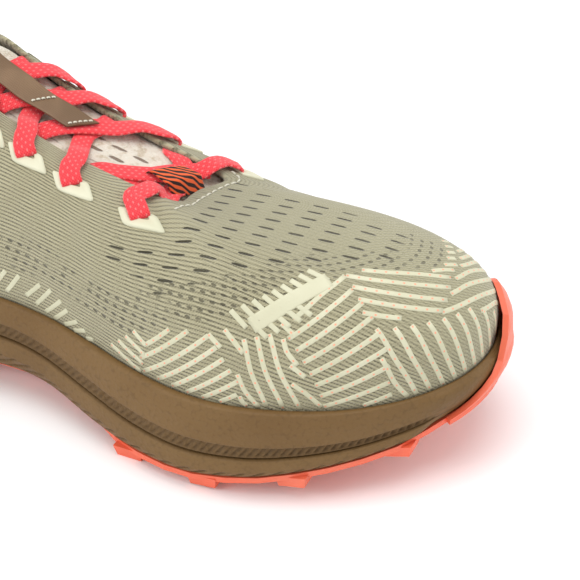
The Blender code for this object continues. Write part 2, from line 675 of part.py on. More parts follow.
def upper(collection, tools):
    """The knitted shell: one wall, open along the throat and collar and underneath."""
    stations = even_stations(UPPER_STATIONS)
    ups = np.linspace(0, 1, UPPER_ROWS)
    foot = stations.flare + CUP_TAPER + GAP
    outer = [UPPER.outer(stations.perimeter, up) for up in ups]
    inner = [UPPER.inner(stations.perimeter, up) for up in ups]
    inner[0] = stations.ring(stations.flare + GAP + WALL, stations.rim)
    lip = (outer[-1] + inner[-1]) / 2 + unit(outer[-1] - outer[-2]) * LINING_ROUND
    tuck = [stations.ring(foot, stations.footbed + GAP), stations.ring(foot + WALL, stations.footbed + GAP)]
    shell = new_object("upper", loft([tuck[0], *outer, lip, *reversed(inner), tuck[1]], True), "knit", collection)
    slots = bmesh.new()
    for side, _, perimeter in eyelets():
        made = bmesh.ops.create_cube(slots, size=1.0)["verts"]
        size = Matrix.Diagonal((EYELET_SLOT[0], EYELET_SLOT[1], WALL * 5, 1.0))
        bmesh.ops.transform(slots, matrix=UPPER.frame(perimeter, EYELET_UP[side]) @ size, verts=made)
    boolean(shell, new_object("eyelet_slots", slots, "knit", tools), "DIFFERENCE")
    return shell


def insole(collection):
    """The loose footbed, inside the foot of the upper."""
    stations = even_stations(UPPER_STATIONS)
    edge = stations.flare + CUP_TAPER + WALL + 2 * GAP
    bottom = stations.footbed + GAP
    rings = [stations.ring(edge, bottom), stations.ring(edge, bottom + INSOLE_THICKNESS)]
    return new_object("insole", loft(rings, shift=1), "footbed_cloth", collection)


def tongue_clearance(v):
    """How far the tongue lies under the wall. It sinks a little at the front of the throat."""
    return TONGUE_CLEARANCE + TONGUE_FRONT_SINK * (1 - ease(v, 0, TONGUE_ARCH_GROWS))


def tongue_section(v):
    """Points of the tongue's outer face across the shoe at one place along the throat, outer edge first."""
    sides = []
    for perimeter in throat_sides(v).values():
        ups = np.array([TONGUE_EDGE_UP, (TONGUE_EDGE_UP + 1) / 2, 1.0])
        shares = np.full(len(ups), perimeter)
        points = UPPER.inner(shares, ups) - UPPER.normals(shares, ups) * tongue_clearance(v)
        sides.append((points, unit(points[-1] - points[-2])))
    (left, left_way), (right, right_way) = sides
    start, end = left[-1], right[-1]
    t = np.linspace(0, 1, ARCH_PLACES + 2)[1:-1, None]
    pull = np.linalg.norm(end - start) * TONGUE_ARCH * ease(v, 0, TONGUE_ARCH_GROWS)
    arch = (
        (2 * t**3 - 3 * t**2 + 1) * start
        + (t**3 - 2 * t**2 + t) * pull * left_way
        + (3 * t**2 - 2 * t**3) * end
        - (t**3 - t**2) * pull * right_way
    )
    return np.vstack([left, arch, right[::-1]])


def tongue_front(across, up):
    """Points of the tongue's front, which lies under the wall in front of the throat."""
    outer, inner = throat_sides(0.0).values()
    share = (across - across[0]) / (across[-1] - across[0])
    perimeter = outer + (inner - outer) * share
    ups = up - TONGUE_FRONT_DROP * (across / across[-1]) ** 2
    return UPPER.inner(perimeter, ups) - UPPER.normals(perimeter, ups) * tongue_clearance(0.0)


class Tongue:
    """The tongue's outer face, as points across (-1 to 1 is the open throat) and along the throat."""

    def __init__(self):
        self.across = np.concatenate([(-1.5, -1.25), np.linspace(-1, 1, ARCH_PLACES + 2), (1.25, 1.5)])
        places = list(np.linspace(*TONGUE_SPAN, TONGUE_ROWS))
        rows = [tongue_section(v) for v in places]
        step = rows[-1].mean(0) - rows[-2].mean(0)
        last, heart = rows[-1], rows[-1].mean(0)
        for number in range(1, TOP_ROWS + 1):
            share = number / TOP_ROWS
            narrow = 1 - TONGUE_NARROWS * share
            rows.append(heart + (last - heart) * narrow + unit(step) * TONGUE_ABOVE_COLLAR * share)
            travel = TONGUE_ABOVE_COLLAR / TOP_ROWS / np.linalg.norm(step)
            places.append(places[-1] + travel * (places[1] - places[0]))
        self.along = np.array([v for _, v in TONGUE_FRONT] + places)
        self.rows = np.array([tongue_front(self.across, up) for up, _ in TONGUE_FRONT] + rows)

    def at(self, across, v):
        """Points of the outer face."""
        across, v = np.broadcast_arrays(np.asarray(across, float), np.asarray(v, float))
        made = []
        for one_across, one_v in zip(across, v):
            row = smooth(self.along, self.rows.reshape(len(self.along), -1), [one_v]).reshape(-1, 3)
            made.append(smooth(self.across, row, [one_across])[0])
        return np.array(made)

    def normals(self, across, v):
        """Outward normals of the outer face."""
        across, v = np.broadcast_arrays(np.asarray(across, float), np.asarray(v, float))
        back = self.at(across, v + 0.02) - self.at(across, v - 0.02)
        over = self.at(across + 0.05, v) - self.at(across - 0.05, v)
        return unit(np.cross(over, back))

    def half_width(self, v):
        """Half the width of the open throat at one place."""
        return np.linalg.norm(self.at([1.0], [v])[0] - self.at([-1.0], [v])[0]) / 2


TONGUE = Tongue()


def tongue(collection):
    """The padded tongue, under the edges of the throat."""
    inner = []
    for v, row in zip(TONGUE.along, TONGUE.rows):
        inner.append(row - TONGUE.normals(TONGUE.across, np.full(len(row), v)) * TONGUE_THICKNESS)
    return new_object("tongue", slab(TONGUE.rows, inner), "tongue_knit", collection)


def strip(points, normals, width, thickness):
    """A bmesh of a flat strip along points, with its width across the path and square to the normals."""
    way = unit(np.gradient(points, axis=0))
    side = unit(np.cross(way, normals)) * width / 2
    up = unit(np.cross(side, way)) * thickness / 2
    corners = (side + up, up - side, -side - up, side - up)
    return loft(list(np.array([points + corner for corner in corners]).transpose(1, 0, 2)))


def lace_path(side, low, high, held, hump):
    """Middle line and normals of a lace from the slot on one side, over the edge, to under the other edge."""
    slot = EYELET_UP[side]
    ups = (slot - LACE_STARTS_UNDER, (slot + 1 + LACE_STARTS_UNDER) / 2, 1.0)
    share = np.linspace(0, 1, len(ups) + len(LACE_ACROSS))
    dive = (high - low) * LACE_DIVES[side]
    pull = held - low - dive / 2 if held else 0.0
    v = low + dive * share + pull * np.sin(share * math.pi)
    points, normals = [], []
    wall_lift = PATCH_THICKNESS + LACE_REST + LACE_THICKNESS / 2
    for up, place in zip(ups, v):
        perimeter = throat_sides(place)[side]
        point, out = UPPER.outer(perimeter, up)[0], UPPER.normals(perimeter, up)[0]
        if up == 1.0:
            point = point + unit(point - UPPER.outer(perimeter, 0.9)[0]) * LINING_ROUND * 2
        points.append(point + out * wall_lift)
        normals.append(out)
    across = np.array(LACE_ACROSS) * (1 if side == "outer" else -1)
    rest = v[len(ups) :]
    outs = TONGUE.normals(across, rest)
    bump = LACE_THICKNESS * hump * np.exp(-((across / LACE_HUMP_REACH) ** 2))
    places = TONGUE.at(across, rest) + outs * (GAP + LACE_THICKNESS * 0.75 + bump)[:, None]
    return np.vstack([points, places]), np.vstack([normals, outs])


def lace(collection, tools):
    """Each crossing of the lace as one joined solid. The first has the bar between the front eyelets under it."""
    for number, (low, high) in enumerate(zip(EYELET_PLACES, EYELET_PLACES[1:]), 1):
        held = KEEPER_HOLDS if number == 1 else None
        under = strip(*lace_path("outer", low, high, held, 0.0), LACE_WIDTH, LACE_THICKNESS)
        over = strip(*lace_path("inner", low, high, held, LACE_OVER_SHARE), LACE_WIDTH, LACE_THICKNESS)
        cross = new_object(f"lace_cross_{number}", under, "lace", collection)
        boolean(cross, new_object(f"lace_over_{number}", over, "lace", tools), "UNION")
        if number == 1:
            across = np.linspace(-BAR_REACH, BAR_REACH, BAR_POINTS)
            v = np.full(BAR_POINTS, BAR_PLACE)
            outs = TONGUE.normals(across, v)
            points = TONGUE.at(across, v) + outs * (GAP + LACE_THICKNESS / 2)
            bar = strip(points, outs, LACE_WIDTH, LACE_THICKNESS)
            boolean(cross, new_object("lace_bar", bar, "lace", tools), "UNION")


def lengthwise_strip(span, lift, width, thickness):
    """A strip along the middle of the tongue, curved with it, at a lift for each of its places."""
    outer, inner = [], []
    for v, height in zip(np.linspace(*span, len(lift)), lift):
        across = np.linspace(-0.5, 0.5, 5) * width / TONGUE.half_width(v)
        out = TONGUE.normals(across, np.full(5, v))
        inner.append(TONGUE.at(across, np.full(5, v)) + out * height)
        outer.append(inner[-1] + out * thickness)
    return slab(outer, inner)


def label_and_keeper(collection):
    """The label that lies over the lace, and the webbing bridge at the front of the throat."""
    over_lace = LACE_THICKNESS * (1.25 + LACE_OVER_SHARE) + 2 * GAP
    share = np.linspace(0, 1, LABEL_ROWS)
    lift = GAP + (over_lace - GAP) * (1 - ease(share, *LABEL_COMES_DOWN))
    mesh = lengthwise_strip(LABEL_SPAN, lift, LABEL_WIDTH, LABEL_THICKNESS)
    new_object("tongue_label", mesh, "label_cloth", collection)
    lift = GAP + (over_lace + 2 * GAP) * ease(share, 0, KEEPER_CLIMBS) * (1 - ease(share, 1 - KEEPER_CLIMBS, 1))
    mesh = lengthwise_strip(KEEPER_SPAN, lift, KEEPER_WIDTH, KEEPER_THICKNESS)
    new_object("lace_keeper", mesh, "webbing", collection)


def rounded(size, power):
    """Points round an oblong of this size. A lower power makes squarer corners."""
    turn = (np.arange(PATCH_CORNERS) + 0.5) * 2 * math.pi / PATCH_CORNERS
    round_pair = np.stack([np.cos(turn), np.sin(turn)], 1)
    return np.sign(round_pair) * np.abs(round_pair) ** power * np.array(size) / 2


def eyelet_patches(collection):
    """The pale patches round the lace slots, cut from the upper's own surface."""
    for side, number, perimeter in eyelets():
        up = EYELET_UP[side]
        run = np.linalg.norm(UPPER.outer(perimeter + 0.01, up) - UPPER.outer(perimeter, up)) / 0.01
        climb = np.linalg.norm(UPPER.outer(perimeter, up) - UPPER.outer(perimeter, up - 0.1)) / 0.1
        rings = []
        for flat in (rounded(EYELET_PATCH, PATCH_POWER), rounded(EYELET_SLOT, SLOT_POWER) * SLOT_CLEARANCE):
            shares = perimeter + flat[:, 0] / run
            ups = up + flat[:, 1] / climb
            place, out = UPPER.outer(shares, ups), UPPER.normals(shares, ups)
            rings.append((place + out * GAP, place + out * (GAP + PATCH_THICKNESS)))
        (wide_low, wide_high), (slot_low, slot_high) = rings
        mesh = loft([wide_low, wide_high, slot_high, slot_low], True)
        new_object(f"eyelet_patch_{side}_{number}", mesh, "film", collection)


def build():
    """Makes every piece, in a collection named for the shoe."""
    for thing in list(bpy.data.objects):
        bpy.data.objects.remove(thing)
    shoe = bpy.data.collections.new("trail_running_shoe")
    tools = bpy.data.collections.new("joined_and_cut_with")
    for made in (shoe, tools):
        bpy.context.scene.collection.children.link(made)
    midsole(shoe)
    outsole(shoe, tools)
    upper(shoe, tools)
    insole(shoe)
    tongue(shoe)
    lace(shoe, tools)
    label_and_keeper(shoe)
    eyelet_patches(shoe)


build()
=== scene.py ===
# %% [markdown]
# A trail running shoe for the right foot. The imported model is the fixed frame, and every piece here is made
# from the same measured tables as the solids: the outline of the sole, the heights along it, and the top line
# of the upper. Building both from the same tables means that the detailed pieces lie exactly where the plain
# solids are.

# %% Load the frame
import math

import bmesh
import bpy
import numpy as np
from mathutils import Matrix, Vector


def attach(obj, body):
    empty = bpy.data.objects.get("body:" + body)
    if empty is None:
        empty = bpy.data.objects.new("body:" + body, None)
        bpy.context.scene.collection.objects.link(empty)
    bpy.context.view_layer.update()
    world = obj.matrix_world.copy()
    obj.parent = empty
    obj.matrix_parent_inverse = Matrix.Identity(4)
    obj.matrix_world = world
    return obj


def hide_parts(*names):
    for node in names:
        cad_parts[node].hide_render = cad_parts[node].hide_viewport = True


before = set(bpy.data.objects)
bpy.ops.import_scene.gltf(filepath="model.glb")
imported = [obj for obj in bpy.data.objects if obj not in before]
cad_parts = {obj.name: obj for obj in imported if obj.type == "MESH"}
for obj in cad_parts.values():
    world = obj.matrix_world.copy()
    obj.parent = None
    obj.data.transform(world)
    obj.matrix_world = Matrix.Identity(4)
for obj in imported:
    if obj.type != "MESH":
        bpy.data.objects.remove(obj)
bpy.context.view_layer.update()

# %% [markdown]
# The camera comes first. The photograph looks down on the toe from the outer side with a fairly long lens, so
# a camera on a sphere round a point near the ball of the foot gives the same view. A small turn of the
# camera, and not a shift, moves the shoe to its place in the frame.

# %% Camera
IMAGE_SIZE = 580
VIEW_AZIMUTH, VIEW_ELEVATION = math.radians(23.33), math.radians(36.65)
VIEW_TARGET = Vector((0.07125, 0.0, 0.035))
VIEW_DISTANCE = 0.435
FOCAL_PIXELS = 1287.6
TARGET_PIXEL = (297.0, 323.6)

back = Vector((
    math.sin(VIEW_AZIMUTH) * math.cos(VIEW_ELEVATION),
    -math.cos(VIEW_AZIMUTH) * math.cos(VIEW_ELEVATION),
    math.sin(VIEW_ELEVATION),
))
right = Vector((math.cos(VIEW_AZIMUTH), math.sin(VIEW_AZIMUTH), 0))
camera_data = bpy.data.cameras.new("photo_camera")
camera = bpy.data.objects.new("photo_camera", camera_data)
bpy.context.scene.collection.objects.link(camera)
camera_data.sensor_width = 36.0
camera_data.lens = FOCAL_PIXELS / IMAGE_SIZE * camera_data.sensor_width
camera_data.clip_start = 0.02
aim = Matrix((right, back.cross(right), back)).transposed()
turn_side = Matrix.Rotation(math.atan((TARGET_PIXEL[0] - IMAGE_SIZE / 2) / FOCAL_PIXELS), 3, "Y")
turn_up = Matrix.Rotation(math.atan((TARGET_PIXEL[1] - IMAGE_SIZE / 2) / FOCAL_PIXELS), 3, "X")
stand = Matrix.Translation(VIEW_TARGET + back * VIEW_DISTANCE)
camera.matrix_world = stand @ (aim @ turn_side @ turn_up).to_4x4()
bpy.context.scene.camera = camera
print("lens", round(camera_data.lens, 1))

# %% [markdown]
# A white studio: one pale floor, a bright even surround, and large soft lights. The big light overhead gives
# the soft shadow between the lugs, and a smaller one from the left models the folds of the knit.

# %% Floor and lights
FLOOR_HALF = 3.0
LIGHTS = (
    ("overhead", (0.05, -0.10, 1.30), (0.07, 0.0, 0.03), 1.10, 10.0),
    ("left_front", (-0.75, -0.95, 0.80), (0.05, 0.0, 0.05), 0.70, 5.5),
    ("right_back", (0.95, 0.60, 0.55), (0.07, 0.0, 0.04), 0.70, 2.5),
)


def aim_at(thing, place, target):
    """Stands a light at a place, looking at a target."""
    way = Vector(target) - Vector(place)
    thing.matrix_world = Matrix.Translation(place) @ way.to_track_quat("-Z", "Y").to_matrix().to_4x4()


for name, place, target, size, power in LIGHTS:
    lamp = bpy.data.lights.new(name, "AREA")
    lamp.shape, lamp.size, lamp.energy = "DISK", size, power
    made = bpy.data.objects.new(name, lamp)
    bpy.context.scene.collection.objects.link(made)
    aim_at(made, place, target)

world = bpy.data.worlds.new("white_surround")
world.use_nodes = True
world.node_tree.nodes["Background"].inputs["Color"].default_value = (1.0, 1.0, 1.0, 1.0)
world.node_tree.nodes["Background"].inputs["Strength"].default_value = 0.72
bpy.context.scene.world = world
bpy.context.scene.view_settings.view_transform = "Standard"

floor_mesh = bmesh.new()
bmesh.ops.create_grid(floor_mesh, x_segments=1, y_segments=1, size=FLOOR_HALF)
floor_data = bpy.data.meshes.new("pale_floor")
floor_mesh.to_mesh(floor_data)
floor_mesh.free()
floor = bpy.data.objects.new("pale_floor", floor_data)
bpy.context.scene.collection.objects.link(floor)

# %% [markdown]
# Finishes are written as short expressions. A small class wraps a node's socket, so that `1 - mask * 0.5`
# adds the Math nodes for itself, and one method makes every other kind of node.

# %% Shader helper
class Value:
    """A socket in a material that takes part in sums."""

    def __init__(self, maker, socket):
        self.maker, self.socket = maker, socket

    def sum(self, operation, other=None, swap=False):
        pair = [self, other] if other is not None else [self]
        return self.maker.node("ShaderNodeMath", {"operation": operation}, pair[::-1] if swap else pair)

    def __add__(self, other): return self.sum("ADD", other)
    def __radd__(self, other): return self.sum("ADD", other)
    def __sub__(self, other): return self.sum("SUBTRACT", other)
    def __rsub__(self, other): return self.sum("SUBTRACT", other, True)
    def __mul__(self, other): return self.sum("MULTIPLY", other)
    def __rmul__(self, other): return self.sum("MULTIPLY", other)
    def __truediv__(self, other): return self.sum("DIVIDE", other)
    def __gt__(self, other): return self.sum("GREATER_THAN", other)
    def __mod__(self, other): return self.sum("FLOORED_MODULO", other)


class Finish:
    """A Principled material that is built up from expressions."""

    def __init__(self, name, **constants):
        self.material = bpy.data.materials.new(name)
        self.material.use_nodes = True
        self.nodes, self.links = self.material.node_tree.nodes, self.material.node_tree.links
        self.shader = self.nodes["Principled BSDF"]
        for socket, value in constants.items():
            self.shader.inputs[socket.replace("_", " ")].default_value = value

    def node(self, kind, settings=None, inputs=(), output=0):
        """Makes one node. Settings come first, then the values or links of its sockets."""
        made = self.nodes.new(kind)
        for name, value in (settings or {}).items():
            setattr(made, name, value)
        pairs = inputs.items() if isinstance(inputs, dict) else enumerate(inputs)
        for name, value in pairs:
            if isinstance(value, Value):
                self.links.new(value.socket, made.inputs[name])
            else:
                made.inputs[name].default_value = value
        return Value(self, made.outputs[output])

    def number(self, name):
        return self.node("ShaderNodeAttribute", {"attribute_name": name}, output="Fac")

    def chart(self, name):
        """The two numbers of a UV map, in metres."""
        parts = self.node("ShaderNodeSeparateXYZ", None, [self.node("ShaderNodeUVMap", {"uv_map": name})])
        return parts, Value(self, parts.socket.node.outputs[1])

    def place(self):
        return self.node("ShaderNodeTexCoord", None, output="Object")

    def noise(self, scale, detail=2.0):
        where = {"Vector": self.place(), "Scale": scale, "Detail": detail}
        return self.node("ShaderNodeTexNoise", None, where)

    def wave(self, value, pitch):
        """A smooth wave from 0 to 1 with its crests a pitch apart."""
        return (value * (2 * math.pi / pitch)).sum("COSINE") * 0.5 + 0.5

    def cell(self, value, pitch, half):
        """How far a value is from the middle of its cell, as a share of a half size."""
        return ((value / pitch) % 1.0 - 0.5) * (pitch / half)

    def rise(self, value, low, high):
        """Rises smoothly from 0 at low to 1 at high."""
        settings = {"interpolation_type": "SMOOTHSTEP"}
        return self.node("ShaderNodeMapRange", settings, {"Value": value, "From Min": low, "From Max": high})

    def mix(self, share, first, second):
        made = self.nodes.new("ShaderNodeMix")
        made.data_type = "RGBA"
        for name, value in (("Factor_Float", share), ("A_Color", first), ("B_Color", second)):
            socket = next(one for one in made.inputs if one.identifier == name)
            if isinstance(value, Value):
                self.links.new(value.socket, socket)
            elif name == "Factor_Float":
                socket.default_value = value
            else:
                socket.default_value = (*value, 1.0)
        return Value(self, next(one for one in made.outputs if one.identifier == "Result_Color"))

    def most(self, first, second): return first.sum("MAXIMUM", second)

    def feed(self, colour, roughness=None, height=None, depth=0.0003):
        """Links what varies to the shader, with the height through a Bump node."""
        bump = None
        if height is not None:
            bump = self.node("ShaderNodeBump", None, {"Height": height, "Distance": depth, "Strength": 1.0})
        for name, value in (("Base Color", colour), ("Roughness", roughness), ("Normal", bump)):
            if value is not None:
                self.links.new(value.socket, self.shader.inputs[name])
        return self.material

# %% [markdown]
# The shoe's sizes, in metres, repeated from the part's source. Only the label is narrower here than its plain
# solid, as wide as the photograph shows it.

# %% Named sizes
SHOE_LENGTH = 0.285
BALL_WIDTH = 0.1085
TOE_SPRING = 0.022
FOOTBED_HEIGHT = 0.0365
RIM_HEIGHT = 0.057
COLLAR_HEIGHT = 0.112
LUG_DEPTH = 0.0036
RUBBER_THICKNESS = 0.0022
BUMPER_THICKNESS = 0.0020
BUMPER_CLEARANCE = 0.0007
SOLE_FLARE = 0.0068
WAIST_UNDERCUT = 0.0045
WAIST_PLACE = 0.40
WAIST_REACH = 0.13
GROOVE_DEPTH = 0.0022
CUP_TAPER = 0.0010
WALL = 0.0020
COLLAR_PAD = 0.0062
LINING_ROUND = 0.0012
INSOLE_THICKNESS = 0.0042
TONGUE_THICKNESS = 0.0036
TONGUE_CLEARANCE = 0.0008
TONGUE_FRONT_SINK = 0.0014
TONGUE_ABOVE_COLLAR = 0.020
EYELET_SLOT = (0.0072, 0.0028)
PATCH_THICKNESS = 0.0007
LACE_WIDTH = 0.0068
LACE_THICKNESS = 0.0013
LABEL_WIDTH = 0.0086
LABEL_THICKNESS = 0.0009
KEEPER_WIDTH = 0.0090
KEEPER_THICKNESS = 0.0011
GAP = 0.0003
ARCH_PLACES = 7
TONGUE_ROWS = 10
TOP_ROWS = 3

# %% [markdown]
# A shoe is built on a last, so its shape is a few curves: the outline seen from above, heights read along the
# length, and the steps of the side read from the bottom edge up. Each is a short table, and a cubic curve
# joins its rows.

# %% Tables of the sole
# Widest outline of the sole: share of the length from the heel, and the outer and inner half width as shares
# of the ball width
OUTLINE = (
    (0.012, 0.118, 0.118),
    (0.050, 0.268, 0.268),
    (0.100, 0.358, 0.354),
    (0.170, 0.404, 0.392),
    (0.250, 0.400, 0.372),
    (0.330, 0.374, 0.342),
    (0.410, 0.355, 0.325),
    (0.480, 0.368, 0.338),
    (0.550, 0.418, 0.382),
    (0.620, 0.472, 0.438),
    (0.700, 0.500, 0.486),
    (0.770, 0.477, 0.500),
    (0.840, 0.414, 0.478),
    (0.900, 0.326, 0.428),
    (0.950, 0.216, 0.350),
    (0.985, 0.090, 0.244),
)
TOE_TIP_ACROSS = 0.075
# Heights along the sole: lift off the floor as a share of the toe spring, and shares of the footbed's height,
# the rim's height and the flare of the side
HEIGHT_COLUMNS = ("along", "lift", "footbed", "rim", "flare")
HEIGHTS = (
    (0.00, 0.45, 1.000, 1.000, 0.85),
    (0.03, 0.22, 1.000, 0.995, 0.90),
    (0.07, 0.05, 1.000, 0.975, 0.95),
    (0.10, 0.00, 0.998, 0.945, 1.00),
    (0.21, 0.00, 0.980, 0.840, 0.95),
    (0.28, 0.06, 0.950, 0.780, 0.85),
    (0.36, 0.17, 0.910, 0.735, 0.80),
    (0.44, 0.17, 0.850, 0.703, 0.80),
    (0.52, 0.05, 0.790, 0.670, 0.88),
    (0.57, 0.00, 0.750, 0.648, 0.95),
    (0.67, 0.00, 0.700, 0.612, 1.00),
    (0.76, 0.11, 0.700, 0.596, 0.98),
    (0.82, 0.27, 0.720, 0.597, 0.94),
    (0.88, 0.48, 0.755, 0.612, 0.76),
    (0.94, 0.74, 0.815, 0.645, 0.56),
    (1.00, 1.00, 0.900, 0.695, 0.44),
)
# Side of the midsole from its bottom edge up: height as a share of the side at four places along the shoe,
# how far it stands in from the widest outline as a share of the flare, and its part in the undercut and the
# groove
SIDE_COLUMNS = ("heel", "waist", "ball", "toe", "inset", "undercut", "groove")
SIDE_PLACES = (0.12, 0.40, 0.68, 0.90)
SIDE = (
    (0.00, 0.00, 0.00, 0.00, 0.30, 1.0, 0.0),
    (0.05, 0.10, 0.04, 0.04, 0.16, 0.7, 0.0),
    (0.13, 0.29, 0.10, 0.09, 0.04, 0.1, 0.0),
    (0.16, 0.34, 0.13, 0.12, 0.00, 0.0, 0.0),
    (0.34, 0.53, 0.32, 0.26, 0.12, 0.0, 0.0),
    (0.37, 0.56, 0.35, 0.29, 0.22, 0.0, 1.0),
    (0.40, 0.59, 0.38, 0.32, 0.14, 0.0, 0.2),
    (0.55, 0.74, 0.55, 0.46, 0.22, 0.0, 0.2),
    (0.58, 0.77, 0.58, 0.49, 0.14, 0.0, 0.0),
    (0.76, 0.88, 0.78, 0.73, 0.27, 0.0, 0.0),
    (0.92, 0.96, 0.93, 0.92, 0.46, 0.0, 0.0),
)
RIM_INSET = 0.55
# Where the side is plain, under the toe bumper: middle as a perimeter share, half reach, and width of the
# blend
PLAIN_TOE = (1.037, 0.158, 0.036)
PLAIN_BULGE = (0.70, 0.95)
PLAIN_BULGE_CURVE = 1.6


# %% Curves through a table
def smooth(knots, values, at, period=None, level=False):
    """A cubic curve through the knots. A level curve never swings past its knots; a period closes it."""
    knots = np.asarray(knots, float)
    values = np.asarray(values, float).reshape(len(knots), -1)
    at = np.asarray(at, float)
    if period:
        knots = np.concatenate([knots[-2:] - period, knots, knots[:2] + period])
        values = np.concatenate([values[-2:], values, values[:2]])
        at = at % period
    step = np.diff(knots)[:, None]
    rise = np.diff(values, axis=0) / step
    slope = np.empty_like(values)
    slope[0], slope[-1] = rise[0], rise[-1]
    slope[1:-1] = (rise[:-1] * step[1:] + rise[1:] * step[:-1]) / (step[:-1] + step[1:])
    if level:
        turns = rise[:-1] * rise[1:] <= 0
        mean = 2 * rise[:-1] * rise[1:] / np.where(turns, 1.0, rise[:-1] + rise[1:])
        slope[1:-1] = np.where(turns, 0.0, mean)
    i = np.clip(np.searchsorted(knots, at, side="right") - 1, 0, len(knots) - 2)
    h = step[i]
    t = ((at - knots[i]) / h[:, 0])[:, None]
    made = (
        (2 * t**3 - 3 * t**2 + 1) * values[i]
        + (t**3 - 2 * t**2 + t) * h * slope[i]
        + (3 * t**2 - 2 * t**3) * values[i + 1]
        + (t**3 - t**2) * h * slope[i + 1]
    )
    return made[:, 0] if made.shape[1] == 1 else made


def ease(value, low, high):
    """Rises smoothly from 0 at low to 1 at high."""
    share = np.clip((np.asarray(value, float) - low) / (high - low), 0, 1)
    return share * share * (3 - 2 * share)


def between(value, starts, full, fades, gone):
    """1 from full to fades, and easing to 0 at starts and gone."""
    return ease(value, starts, full) * (1 - ease(value, fades, gone))


def run_along(points):
    """How far each row of points lies along the line that they make."""
    return np.concatenate([[0], np.cumsum(np.linalg.norm(np.diff(points, axis=0), axis=1))])


def unit(vectors):
    """Rows scaled to length 1."""
    return vectors / np.linalg.norm(vectors, axis=-1)[..., None]


def column(table, columns, name):
    """One named column of a table."""
    place = columns.index(name)
    return np.array([row[place] for row in table], float)


# %% Places along and round the sole
def along(name, share):
    """A column of HEIGHTS at these shares of the length."""
    shares = column(HEIGHTS, HEIGHT_COLUMNS, "along")
    return smooth(shares, column(HEIGHTS, HEIGHT_COLUMNS, name), share, level=True)


def x_of(share):
    """Where a share of the midsole's length lies. The bumper makes up the rest of the length."""
    return share * (SHOE_LENGTH - BUMPER_THICKNESS - BUMPER_CLEARANCE) - SHOE_LENGTH / 2


def share_of(x):
    """Share of the midsole's length at these places."""
    return np.clip((x + SHOE_LENGTH / 2) / (SHOE_LENGTH - BUMPER_THICKNESS - BUMPER_CLEARANCE), 0, 1)


def widest_outline():
    """The sole's widest outline as two dense halves with their perimeter shares: heel to toe, then back."""
    outer = [(row[0], -row[1]) for row in OUTLINE]
    inner = [(row[0], row[2]) for row in reversed(OUTLINE)]
    points = np.array([(0.0, 0.0), *outer, (1.0, TOE_TIP_ACROSS), *inner])
    points = np.stack([x_of(points[:, 0]), points[:, 1] * BALL_WIDTH], 1)
    chords = np.hypot(*(np.roll(points, -1, 0) - points).T)
    knots = np.concatenate([[0], np.cumsum(chords)])
    toe = knots[len(outer) + 1]
    dense = 1200
    at = np.concatenate([np.linspace(0, toe, dense, False), np.linspace(toe, knots[-1], dense, False)])
    line = smooth(knots[:-1], points, at, period=knots[-1])
    halves = []
    for half in (line[: dense + 1], np.vstack([line[dense:], line[:1]])):
        run = np.concatenate([[0], np.cumsum(np.hypot(*np.diff(half, axis=0).T))])
        halves.append((half, run / run[-1]))
    return halves


HALVES = widest_outline()


def on_outline(perimeter):
    """Points of the outline at perimeter shares: 0 is the heel, 1 the toe, and the inner side follows."""
    perimeter = perimeter % 2
    points = np.empty((len(perimeter), 2))
    for half, (line, share) in enumerate(HALVES):
        chosen = (perimeter >= half) & (perimeter < half + 1)
        for axis in (0, 1):
            points[chosen, axis] = np.interp(perimeter[chosen] - half, share, line[:, axis])
    return points


def plain_inset(level):
    """Inset of the side where it has no steps, as a share of the flare, at a share of its height."""
    low, share = PLAIN_BULGE
    return share * np.clip(1 - level / low, 0, 1) ** PLAIN_BULGE_CURVE + RIM_INSET * ease(level, low, 2 - low)


def undercut(share):
    """How far the bottom edge is drawn in at the waist."""
    return WAIST_UNDERCUT * np.exp(-(((share - WAIST_PLACE) / WAIST_REACH) ** 2))


class Stations:
    """Places round the shoe, with the heights and insets of the sole at each."""

    def __init__(self, perimeter):
        step = 0.004
        self.perimeter = np.asarray(perimeter, float)
        self.points = on_outline(self.perimeter)
        run = unit(on_outline(self.perimeter + step) - on_outline(self.perimeter - step))
        self.normals = np.stack([run[:, 1], -run[:, 0]], 1)
        self.share = share_of(self.points[:, 0])
        self.rubber_bottom = LUG_DEPTH + along("lift", self.share) * TOE_SPRING
        self.rubber_top = self.rubber_bottom + RUBBER_THICKNESS
        self.foam_bottom = self.rubber_top + GAP
        self.footbed = along("footbed", self.share) * FOOTBED_HEIGHT
        self.rim = along("rim", self.share) * RIM_HEIGHT
        self.flare = along("flare", self.share) * SOLE_FLARE
        middle, reach, blend = PLAIN_TOE
        self.plain = 1 - ease(np.abs(self.perimeter % 2 - middle), reach - blend, reach)

    def ring(self, inset, height):
        """A ring, set in from the widest outline by an inset and raised to a height."""
        inset = np.broadcast_to(inset, self.share.shape)
        flat = self.points - self.normals * inset[:, None]
        return np.column_stack([flat, np.broadcast_to(height, self.share.shape)])

    def side_height(self, level):
        """Height at a share of the midsole's side."""
        return self.foam_bottom + level * (self.rim - self.foam_bottom)


# %% [markdown]
# The upper is a knitted sock pulled over the last. From the rim of the sole each upright curve climbs a wall
# that is straight at the heel and round over the toe, and ends on the top line: the collar, then the edges of
# the throat.

